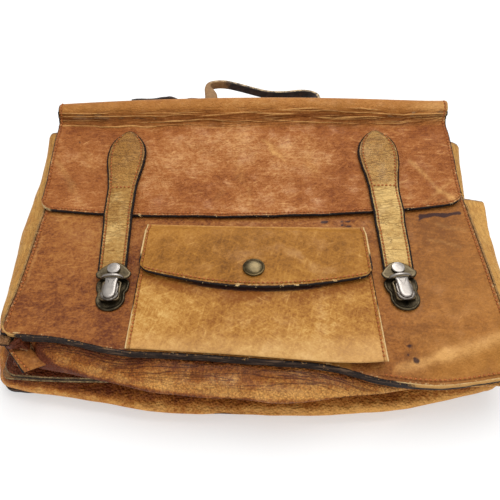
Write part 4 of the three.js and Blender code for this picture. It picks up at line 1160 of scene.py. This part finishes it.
def lay_pocket():
    """The pocket and its flap, each on a grid across and up it. The pocket's foot isn't a painted edge,
    nor is the flap's top. A painted shadow lies under the flap's lip, and the pocket's foot has a painted
    sheen."""
    columns = lines(POCKET_LEFT, POCKET_RIGHT, 2.0)
    face = pocket_face(*np.meshgrid(columns, lines(0, 1, 2.0 / POCKET_TALL, 1.5 / POCKET_TALL)))
    across, up = face[..., 0], face[..., 1]
    out, past_lip = np.abs(across), up - pocket_tip(across)
    # Painted sheen: the pale and tan marks lighten the lower part, most towards its sides; the upper part is
    # a little darker
    lower = 1 - ease(up, 8, 45)
    marks = {
        "pale": lower * lerp(0.1, 0.45, ease(out, 30, 95)),
        # Painted shadow under the flap's lip: a dark line just below it and a wider darkening in the shade
        # mark
        "dark": np.exp(-(((past_lip - 1.4) / 3) ** 2)) * (1 - ease(out, 30, 92)),
        "tan": 0.55 * (1 - ease(up, 2, 24)),
        "shade": -0.05 * (1 - lower) - 0.28 * np.exp(-(((past_lip + 3) / 9) ** 2)),
        "edge": np.minimum(across - POCKET_LEFT, POCKET_RIGHT - across),
        "raw": (1 - ease(up, 30, 60)) * ease(out, 84, 92),
        "plain": (1 - ease(up, 14, 20)) * (out < 90),
    }
    sheet("pocket_hide", face, POCKET, POCKET_HIDE, marks=marks, slot="leather_pale", nodes=["pocket"])
    across, share = np.meshgrid(columns, lines(0, 1, 2.0 / POCKET_FLAP_TALL, 1.5 / POCKET_FLAP_TALL))
    face = pocket_flap_face(across, share)
    up = face[..., 1]
    side = np.minimum(across - POCKET_LEFT, POCKET_RIGHT - across)
    marks = {
        "pale": 0.6 * ease(share, 0.955, 0.985),
        "tan": 0.3 * ease(up, 90, 130),
        "raw": 0.85 * ease(up, 86, 104),
        "edge": np.minimum(side, POCKET_FLAP_TALL * share),
    }
    ways = {"marks": marks, "slot": "leather_pale", "nodes": ["pocket_flap"]}
    sheet("pocket_flap_hide", face, POCKET_FLAP, TOP_HIDE, **ways)


STRAP_TONE = {"left": 0.06, "right": 0.28}


def lay_straps():
    """Both straps, each on a grid across its width and up its length."""
    grid = np.meshgrid(lines(-1, 1, 0.1, 0.12), lines(STRAP_FOOT, STRAP_TOP, 1.6))
    for side in STRAPS:
        face = strap_face(side)(*grid)
        head = ease(face[..., 1], STRAP_NECK - 6, STRAP_NECK + 8)
        marks = {"tan": 0.55 * head, "shade": STRAP_TONE[side] - 0.11 * head, "grain": 0.4 * head}
        ways = {"marks": marks, "slot": "leather_pale", "nodes": [f"strap_{side}"]}
        sheet(f"strap_{side}_hide", face, STRAP, STRAP_HIDE, **ways)


TAB = {"top": [(-190, 18, 48), (-173, 18.5, 47)], "foot": [(-171.5, -3, 43), (-153, 5.5, 42)]}
TAB_WIDTH = 14


def tab_face(across, down):
    """The folded corner tab: a quad between its top and foot lines, bulging in its middle."""
    line = lambda key: lerp(*np.array(TAB[key], float), across[..., None])
    swell = np.sin(np.pi * np.clip(across, 0, 1)) * np.sin(np.pi * np.clip(down, 0, 1))
    return lerp(line("top"), line("foot"), down[..., None]) + swell[..., None] * np.array([0, -2.0, 2.0])


def lay_tab():
    """The corner tab on a grid across and down it, with painted shade where it goes under the front and
    towards its right side.
    """
    across, down = np.meshgrid(lines(0, 1, 0.04, 0.04), lines(0, 1, 0.06, 0.06))
    marks = {
        "tan": 0.2,
        "raw": 0.25 * (1 - ease(across, 0.1, 0.3)),
        # Painted shade under the front's edge and towards the bulge that covers the tab's right side
        "shade": 0.2 - 0.35 * across - 0.9 * (1 - ease(down, 0.05, 0.3)),
        "edge": TAB_WIDTH * across,
    }
    sheet("corner_tab", tab_face(across, down), GUSSET, FRONT_HIDE, marks=marks, slot="leather_gusset")


# Painted edge bands

BAND_SIDE_HEIGHT, BAND_SIDE_RAW, BAND_REACH = 2.4, 0.55, 0.2


def edge_band(name, panel, tops, height, out):
    """Black band over the stacked edges of a panel and its gusset: an upright rounded profile with a
    groove between its plies, carried round the sewn edge. A table gives its height along the bottom, and
    the sides are low."""
    path = seam_path(tops)
    edge, outward = path["edge"], path["outward"]
    crest = panel.place(edge[:, 0], edge[:, 1])
    side = crest - panel.place(*(edge - 2 * outward).T)
    side[:, 2] = 0
    side = unit(side)
    bottom = ease(-outward[:, 1], 0.2, 0.9)
    tall = lerp(BAND_SIDE_HEIGHT, read(height, "height", edge[:, 0]), bottom)
    tall = tall * (1 + 0.09 * ripple(edge[:, 0], edge[:, 1], 11, 31))
    loop = rounded_profile(out, 1, min(out, 1) * 0.48, 5)
    groove = 0.35 * np.exp(-((loop[:, 1] / 0.1) ** 2)) * (loop[:, 0] > 0)
    wander = 0.35 * ripple(edge[:, 0], edge[:, 1] + 7, 8, 32)[:, None]
    section = np.stack([loop[:, 0] - groove + BAND_REACH + wander, loop[:, 1] * tall[:, None]], -1)
    middle = crest - np.array([0, 0, 1]) * (tall / 2 - 0.35)[:, None]
    rise = np.broadcast_to([0.0, 0, 1], crest.shape)
    place, faces = carried(middle, side, rise, section)
    raw = np.repeat(lerp(BAND_SIDE_RAW, read(height, "raw", edge[:, 0]), bottom), len(loop))
    raw = raw * np.tile(loop[:, 1] > 0.05, len(edge))
    rim = np.tile(ease(np.abs(loop[:, 1]), 0.3, 0.5), len(edge))
    marks = {"raw": np.append(raw, [0, 0]), "rim": np.append(rim, [0, 0])}
    make_piece(name, place, faces, EDGE_PAINT, slot="leather_dark", marks=marks)


FRONT_BAND = table(
    "across height raw",
    (-190, 7.4, 1), (-182, 7.2, 0.9), (-174, 7.0, 0), (-100, 6.8, 0),
    (60, 6.6, 0), (98, 6.0, 0.1), (124, 4.6, 0.9), (190, 3.6, 1),
)
BACK_BAND = table("across height raw", (-190, 3.1, 0), (190, 3.1, 0))


# Handle and its bar

BAR_WEAR = table(
    "along height",
    (-122, 0.8), (-112, 0.86), (-100, 0.9), (-92, 0.98), (-84, 1.08), (-78, 1.0), (-74, 0.86),
    (-64, 0.94), (-54, 0.94), (-46, 0.84), (-30, 0.8), (100, 0.8), (122, 0.6),
)
WORN_LEG_STEP, WORN_LEG_SWELL = 2.1, 2.3


def handle_pieces():
    """The handle, a rounded strap on edge carried along its line and swollen at its worn leg, and the bar
    under it, carried straight across with an uneven height."""
    steps = np.linspace(0, HANDLE_LINE["step"][-1], 200)
    path = points(*(read(HANDLE_LINE, key, steps) for key in ("across", "up", "level")))
    side = sideways(path * (1, 1, 0))
    upright = np.array([0.0, 0, 1])
    loop = rounded_profile(HANDLE_THICKNESS, HANDLE_WIDTH, 1.4)
    swell = 1 + WORN_LEG_SWELL * np.exp(-((steps - WORN_LEG_STEP) ** 2))
    swell = (swell + 0.12 * ripple(steps * 9, steps * 0, 7, 6))[:, None]
    thick = loop[:, 0] * swell + (swell - 1) * HANDLE_THICKNESS / 2
    section = np.stack([thick, np.broadcast_to(loop[:, 1], thick.shape)], -1)
    place, faces = carried(path, side, np.broadcast_to(upright, path.shape), section)
    ring = np.tile(np.abs(loop[:, 1]) / (HANDLE_WIDTH / 2), len(path))
    along = np.repeat(np.linspace(0, 1, len(path)), len(loop))
    leg = np.exp(-(((np.repeat(steps, len(loop)) - WORN_LEG_STEP) / 1.3) ** 2))
    rub = np.append(ease(ring, 0.72, 1) * (1 - 0.75 * leg), [0, 0])
    marks = {"rub": rub, "brown": np.append(1 - ease(along, 0.3, 0.45), [1, 0])}
    make_piece("handle_strap", place, faces, HANDLE_HIDE, slot="leather_dark", nodes=["handle"], marks=marks)
    along = np.linspace(-BAR_HALF, BAR_HALF, 180)
    level = (BAR_LOW + BAR_HIGH) / 2 - BAR_LEAN * along / BAR_HALF
    path = points(along + FLAP_CENTRE, BAR_UP + GAP + BAR_THICKNESS / 2 + 0.2, level)
    loop = rounded_profile(BAR_THICKNESS, BAR_HIGH - BAR_LOW, 1.2)
    tall = read(BAR_WEAR, "height", along) + 0.03 * ripple(along, along * 0, 5, 8) * (along < -45)
    tall = loop[:, 1] * tall[:, None]
    section = np.stack([np.broadcast_to(loop[:, 0], tall.shape), tall], -1)
    side = np.broadcast_to([0.0, 1, 0], path.shape)
    place, faces = carried(path, side, np.broadcast_to(upright, path.shape), section)
    ring = np.tile(np.abs(loop[:, 1]) / (BAR_HIGH - BAR_LOW) * 2, len(along))
    marks = {"rub": np.append(0.6 * ease(ring, 0.85, 1), [0, 0])}
    ways = {"slot": "leather_dark", "nodes": ["handle_bar"], "marks": marks}
    make_piece("handle_bar_strap", place, faces, HANDLE_HIDE, **ways)


# Metal

def circle(radius, count=48):
    """Points round a circle, evenly by angle."""
    angle = np.arange(count) * 2 * math.pi / count
    return radius * np.stack([np.cos(angle), np.sin(angle)], -1)


def curve_through(control, samples):
    """A closed outline through control points, smooth except where a point is given twice."""
    control = np.asarray(control, float)
    ring = np.concatenate([control, control[:1]])
    axis = np.concatenate([[0], np.cumsum(np.maximum(np.linalg.norm(np.diff(ring, axis=0), axis=-1), 1e-3))])
    at = np.linspace(0, axis[-1], samples, endpoint=False)
    wrap = lambda k: np.concatenate([control[-2:, k], control[:, k], control[:3, k]])
    back = axis[-1]
    long_axis = np.concatenate([axis[-3:-1] - back, axis[:-1], axis[:3] + back])
    return np.stack([read({"axis": long_axis, "value": wrap(k)}, "value", at) for k in (0, 1)], -1)


def mirrored(half):
    """A closed outline from its right half, listed from the lower middle to the upper middle."""
    half = np.asarray(half, float)
    return np.concatenate([half, half[-2:0:-1] * (-1, 1)])


# Right halves of the metal outlines, from lower to upper middle. A ring is an inset, a share and a level;
# those of caps have their level as a share of the height
PLATE_HALF = [
    (0, 1.2), (6.2, 3.0), (10.6, 8.4), (11.5, 12.7), (11.1, 16.4), (10.9, 18.6), (12.4, 21.2),
    (13.2, 25.4), (12.9, 29.6), (10.6, 32.4), (6, 33), (0, 33),
]
HASP_HALF = [
    (0, 29.4), (6, 29.4), (9.3, 29.6), (12.4, 30.9), (14.0, 33.4), (14.3, 35.2), (12.2, 38.4),
    (8.4, 42.6), (5.2, 45.2), (2.4, 46.4), (0, 46.6),
]
PAD_HALF = [
    (0, 9.4), (2.6, 10.0), (4.4, 11.9), (5, 14.4), (5, 20), (5, 26), (4.9, 29.6), (4.2, 30), (0, 30),
]
LIP_HALF = [(0, 7.8), (3.8, 8.7), (6.4, 11.2), (7.3, 14.6), (7.2, 15.8), (6.4, 16), (0, 16)]
CASE_HALF = [(0, 10), (6.6, 10), (7.5, 10.9), (7.6, 14), (7.6, 24), (7.5, 27.2), (6.6, 28), (0, 28)]
PLATE_RINGS = [
    (1.2, 1, 0), (0.3, 1, 0), (0, 1, 0.35), (0.05, 1, 1.0), (0.5, 1, 1.5), (1.1, 1, 1.65),
    (1.7, 1, 1.5), (2.2, 1, 1.2), (3.2, 1, 1.1), (3.2, 0.55, 1.1), (3.2, 0.2, 1.1),
]
CASE_RINGS = [
    (0.6, 1, 0.8), (0, 1, 0.9), (0, 1, 3.6), (0.25, 1, 4.2), (0.8, 1, 4.4), (1.6, 1, 4.35),
    (2.4, 1, 2.1), (2.6, 0.5, 2.0),
]
HASP_RINGS = [
    (1.4, 1, 4.4), (0.3, 1, 4.1), (0, 1, 4.5), (0.1, 1, 5.1), (0.5, 1, 5.5), (1.2, 1, 5.72),
    (2.2, 1, 5.62), (3.2, 0.9, 5.6), (3.4, 0.4, 5.6),
]
PAD_RINGS = [
    (0.8, 1, 6.1), (0.2, 1, 6.05), (0, 1, 6.5), (0.15, 1, 7.2), (0.6, 1, 7.65), (1.2, 1, 7.85),
    (2.2, 0.85, 7.9), (2.6, 0.3, 7.9),
]
LIP_RINGS = [
    (0.6, 1, 4.85), (0.1, 1, 4.95), (0, 1, 5.4), (0.2, 1, 5.95), (0.7, 1, 6.25), (1.3, 1, 6.3),
    (2.0, 0.9, 6.2), (2.4, 0.4, 6.15),
]
CAP_RINGS = [
    (0.5, 0.98, 0.05), (0, 1, 0.15), (0, 1.0, 0.45), (0, 0.965, 0.32), (0, 0.93, 0.45), (0, 0.86, 0.62),
    (0, 0.7, 0.82), (0, 0.5, 0.93), (0, 0.25, 0.985), (0, 0.08, 1.0),
]
RIVET_RINGS = [
    (0.5, 0.98, 0.05), (0, 1, 0.15), (0, 1, 0.66), (0, 0.96, 0.86), (0, 0.9, 0.93), (0, 0.78, 0.9),
    (0, 0.7, 0.95), (0, 0.4, 1.0), (0, 0.08, 1.0),
]
SNAP_RINGS = [
    (0.5, 0.98, 0.02), (0, 1, 0.1), (0, 1.0, 0.36), (0, 0.95, 0.46), (0, 0.88, 0.4), (0, 0.84, 0.5),
    (0, 0.78, 0.66), (0, 0.6, 0.84), (0, 0.4, 0.95), (0, 0.2, 0.99), (0, 0.06, 1.0),
]
KEY_HALF = [(0, 12), (4.4, 12), (4.6, 12.3), (4.6, 25.7), (4.4, 26), (0, 26)]
KEY_RINGS = [(0.4, 1, 2.2), (0, 1, 2.4), (0, 1, 6.4), (0.4, 1, 6.5)]
LOCK_DOTS = (-3.4, 0, 3.4)
DOT_RADIUS, DOT_HEIGHT = 0.55, 0.35


def rubbed(place):
    """Rub on metal: strongest on what stands highest in each shape."""
    level = place[:, 2]
    return ease(level, np.percentile(level, 45), level.max())


def cap(radius, height, rings, at):
    """A round cap: rings of a circle, their levels shares of its height."""
    rings = [(inset, share, level * height) for inset, share, level in rings]
    shape, faces = turned_plate(circle(radius), rings)
    return shape + np.array(at), faces


def arch_band():
    """The arched lip of a hasp: a thin rounded band carried over a half ellipse."""
    half, crown, foot = 8.7, 9.7, HASP_UNDER + HASP_THICKNESS / 2
    angle = np.linspace(0, math.pi, 40)
    path = points(half * np.cos(angle), 30.4, foot + (crown - foot) * np.sin(angle))
    side = np.broadcast_to([0.0, 1, 0], path.shape)
    rise = unit(np.cross(np.gradient(path, axis=0), side))
    return carried(path, side, rise, rounded_profile(2.0, 1.2, 0.5))


def lay_locks():
    """Both locks, made upright at the origin, then leaned and put on the front. The thumb slide rides on its
    own body."""
    for side, (across, lean) in LOCKS.items():
        sunk = lerp(FRONT_SAG_FOOT, 1, ease(LOCK_FOOT + LOCK_LENGTH / 2, 0, FRONT_SAG_FULL))
        level = FRONT_LEVEL - FRONT_SAG * (1 - (across / HALF) ** 2) * sunk + BED + GAP
        cosine, sine = math.cos(lean), math.sin(lean)
        turn = np.array([[cosine, sine, 0], [-sine, cosine, 0], [0, 0, 1]])
        put = lambda place: place @ turn + np.array([across, LOCK_FOOT, level])

        def piece(name, shape, finish, node, slot, body=BODY, rub=None):
            place, faces = shape
            marks = {"rub": rubbed(place) if rub is None else np.full(len(place), rub)}
            nodes = [f"{node}_{side}"]
            make_piece(f"{name}_{side}", put(place), faces, finish, body, slot, nodes, marks)

        spots = [(x, 5.2 + 0.06 * x * x, 1.1) for x in LOCK_DOTS]
        dots = [cap(DOT_RADIUS, DOT_HEIGHT, CAP_RINGS, spot) for spot in spots]
        base = turned_plate(curve_through(mirrored(PLATE_HALF), 120), PLATE_RINGS)
        case = turned_plate(curve_through(mirrored(CASE_HALF), 80), CASE_RINGS)
        piece("lock_base", joined(base, case, *dots), BRONZE, "lock_plate", "bronze")
        wings = turned_plate(curve_through(mirrored(HASP_HALF), 120), HASP_RINGS)
        piece("hasp", wings, BRONZE, "lock_hasp", "bronze")
        place, faces = arch_band()
        marks = {"rub": np.full(len(place), 0.8)}
        make_piece(f"hasp_lip_{side}", put(place), faces, NICKEL, BODY, "silver", marks=marks)
        pad = turned_plate(curve_through(mirrored(PAD_HALF), 90), PAD_RINGS)
        lip = turned_plate(curve_through(mirrored(LIP_HALF), 80), LIP_RINGS)
        key = turned_plate(curve_through(mirrored(KEY_HALF), 60), KEY_RINGS)
        piece("thumb_slide", joined(pad, lip, key), NICKEL, "lock_slider", "silver", f"slider_{side}")
        rivet = cap(RIVET_RADIUS, RIVET_HEIGHT, RIVET_RINGS, (0, RIVET_UP, HASP_UNDER + HASP_THICKNESS + GAP))
        piece("rivet", rivet, NICKEL, "lock_rivet", "silver", rub=1.0)


def lay_snap():
    """The snap's dome, a cap on the pocket's flap."""
    level = pocket_flap_level(np.array(SNAP_ACROSS * 1.0), np.array(SNAP_UP))
    spot = np.array([SNAP_ACROSS, SNAP_UP, float(level) + BED])
    place, faces = cap(SNAP_RADIUS, SNAP_HEIGHT, SNAP_RINGS, spot)
    marks = {"rub": 0.4 * rubbed(place)}
    make_piece("snap_dome", place, faces, SNAP_BRONZE, slot="bronze", nodes=["snap_cap"], marks=marks)


# Stitching

SEAM_POINTS, STITCH_INSET, POCKET_STITCH_INSET, STRAP_STITCH_SHARE = 400, 3.4, 3.2, 0.74


def sew():
    """All the stitching, as runs along lines of each face."""
    side = np.linspace(0, 1, SEAM_POINTS)
    at = lambda value: np.full(SEAM_POINTS, value)
    runs = []
    flap_side = lerp(10, 136, side)
    for sign in (-1, 1):
        runs.append(stitch_run(flap_face, at(sign * (FLAP_HALF - STITCH_INSET)), flap_side))
    runs.append(stitch_run(flap_face, lerp(10 - FLAP_HALF, FLAP_HALF - 10, side), at(STITCH_INSET)))
    for sign in (-1, 1):
        runs.append(stitch_run(FRONT_PANEL.face, at(sign * (HALF - STITCH_INSET)), lerp(10, 165, side)))
    runs.append(stitch_run(FRONT_PANEL.face, lerp(92, HALF - 6, side), at(STITCH_INSET + 1.2)))
    middle, half = (POCKET_LEFT + POCKET_RIGHT) / 2, (POCKET_RIGHT - POCKET_LEFT) / 2
    for sign in (-1, 1):
        across = middle + sign * (half - POCKET_STITCH_INSET)
        runs.append(stitch_run(pocket_face, at(across), lerp(0.02, 0.98, side)))
        runs.append(stitch_run(pocket_flap_face, at(across), lerp(0.1, 0.97, side)))
    wide = lerp(POCKET_LEFT + 5, POCKET_RIGHT - 5, side)
    runs.append(stitch_run(pocket_flap_face, wide, at(0.055)))
    place, faces = joined(*runs)
    make_piece("stitching", place, faces, RUST_THREAD, slot="leather_tan")
    runs = []
    for name in STRAPS:
        face = strap_face(name)
        for sign in (-1, 1):
            runs.append(stitch_run(face, at(sign * STRAP_STITCH_SHARE), lerp(84, 235, side)))
        runs.append(stitch_run(face, lerp(-0.72, 0.72, side), at(float(STRAP_NECK))))
    runs.append(stitch_run(tab_face, np.full(200, 0.24), np.linspace(0.1, 0.96, 200)))
    place, faces = joined(*runs)
    make_piece("strap_stitching", place, faces, RUST_THREAD, slot="leather_tan")


# Stage

def placed(across, above, back, place):
    """A matrix with those three axes at that place."""
    return Matrix([*np.stack([across, above, back, place], -1).tolist(), (0, 0, 0, 1)])


def look():
    """The camera: turned by yaw about the upright, down by pitch, and about its own line of sight by roll."""
    pitch, yaw, roll = (math.radians(angle) for angle in (CAMERA_PITCH, CAMERA_YAW, CAMERA_ROLL))
    level = np.array([math.sin(yaw), math.cos(yaw), 0])
    right = np.array([math.cos(yaw), -math.sin(yaw), 0])
    upright = np.array([0, 0, 1])
    ahead = math.cos(pitch) * level - math.sin(pitch) * upright
    above = math.sin(pitch) * level + math.cos(pitch) * upright
    across = math.cos(roll) * right + math.sin(roll) * above
    top = -math.sin(roll) * right + math.cos(roll) * above
    data = bpy.data.cameras.new("camera")
    data.lens, data.sensor_width, data.clip_start = LENS, SENSOR, 0.01
    camera = bpy.data.objects.new("camera", data)
    bpy.context.scene.collection.objects.link(camera)
    camera.matrix_world = placed(across, top, -ahead, CAMERA_PLACE)
    bpy.context.scene.camera = camera


def light(name, place, size, power):
    """A round soft light at a place in metres, turned to the origin."""
    data = bpy.data.lights.new(name, "AREA")
    data.shape, data.size, data.energy = "DISK", size, power
    lamp = bpy.data.objects.new(name, data)
    away = unit(np.array(place))
    right = unit(np.cross([0, 0, 1], away))
    bpy.context.scene.collection.objects.link(lamp)
    lamp.matrix_world = placed(right, np.cross(away, right), away, place)


FLOOR_SIZE, FLOOR_LEVEL = 4.0, -0.0004


def stage():
    """White floor, white surroundings and three soft lights, all in metres."""
    size, low = FLOOR_SIZE, FLOOR_LEVEL
    mesh = bpy.data.meshes.new("floor")
    corners = [(-size, -size, low), (size, -size, low), (size, size, low), (-size, size, low)]
    mesh.from_pydata(corners, [], [(0, 1, 2, 3)])
    mesh.materials.append(FLOOR_FINISH)
    floor = bpy.data.objects.new("floor", mesh)
    bpy.context.scene.collection.objects.link(floor)
    floor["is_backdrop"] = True
    world = bpy.data.worlds.new("studio")
    world.use_nodes = True
    world.node_tree.nodes["Background"].inputs["Color"].default_value = (1, 1, 1, 1)
    world.node_tree.nodes["Background"].inputs["Strength"].default_value = 0.7
    bpy.context.scene.world = world
    light("top_light", (0.25, 0.3, 1.5), 1.3, 12.5)
    light("sheen_light", (0.1, 1.2, 1.3), 0.7, 7)
    light("front_light", (-0.3, -1.3, 0.7), 1.0, 3.5)
    bpy.context.scene.view_settings.view_transform = "Standard"


look()
stage()
lay_walls()
lay_gussets()
lay_front()
lay_flap()
lay_pocket()
lay_straps()
lay_tab()
edge_band("front_edge", FRONT_PANEL, (160, 160), FRONT_BAND, 1.8)
edge_band("back_edge", BACK_PANEL, (250, 250), BACK_BAND, 1.6)
handle_pieces()
lay_snap()
lay_locks()
sew()

{"cad": CAD_BOX, "visual": [list(corner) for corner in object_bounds()]}
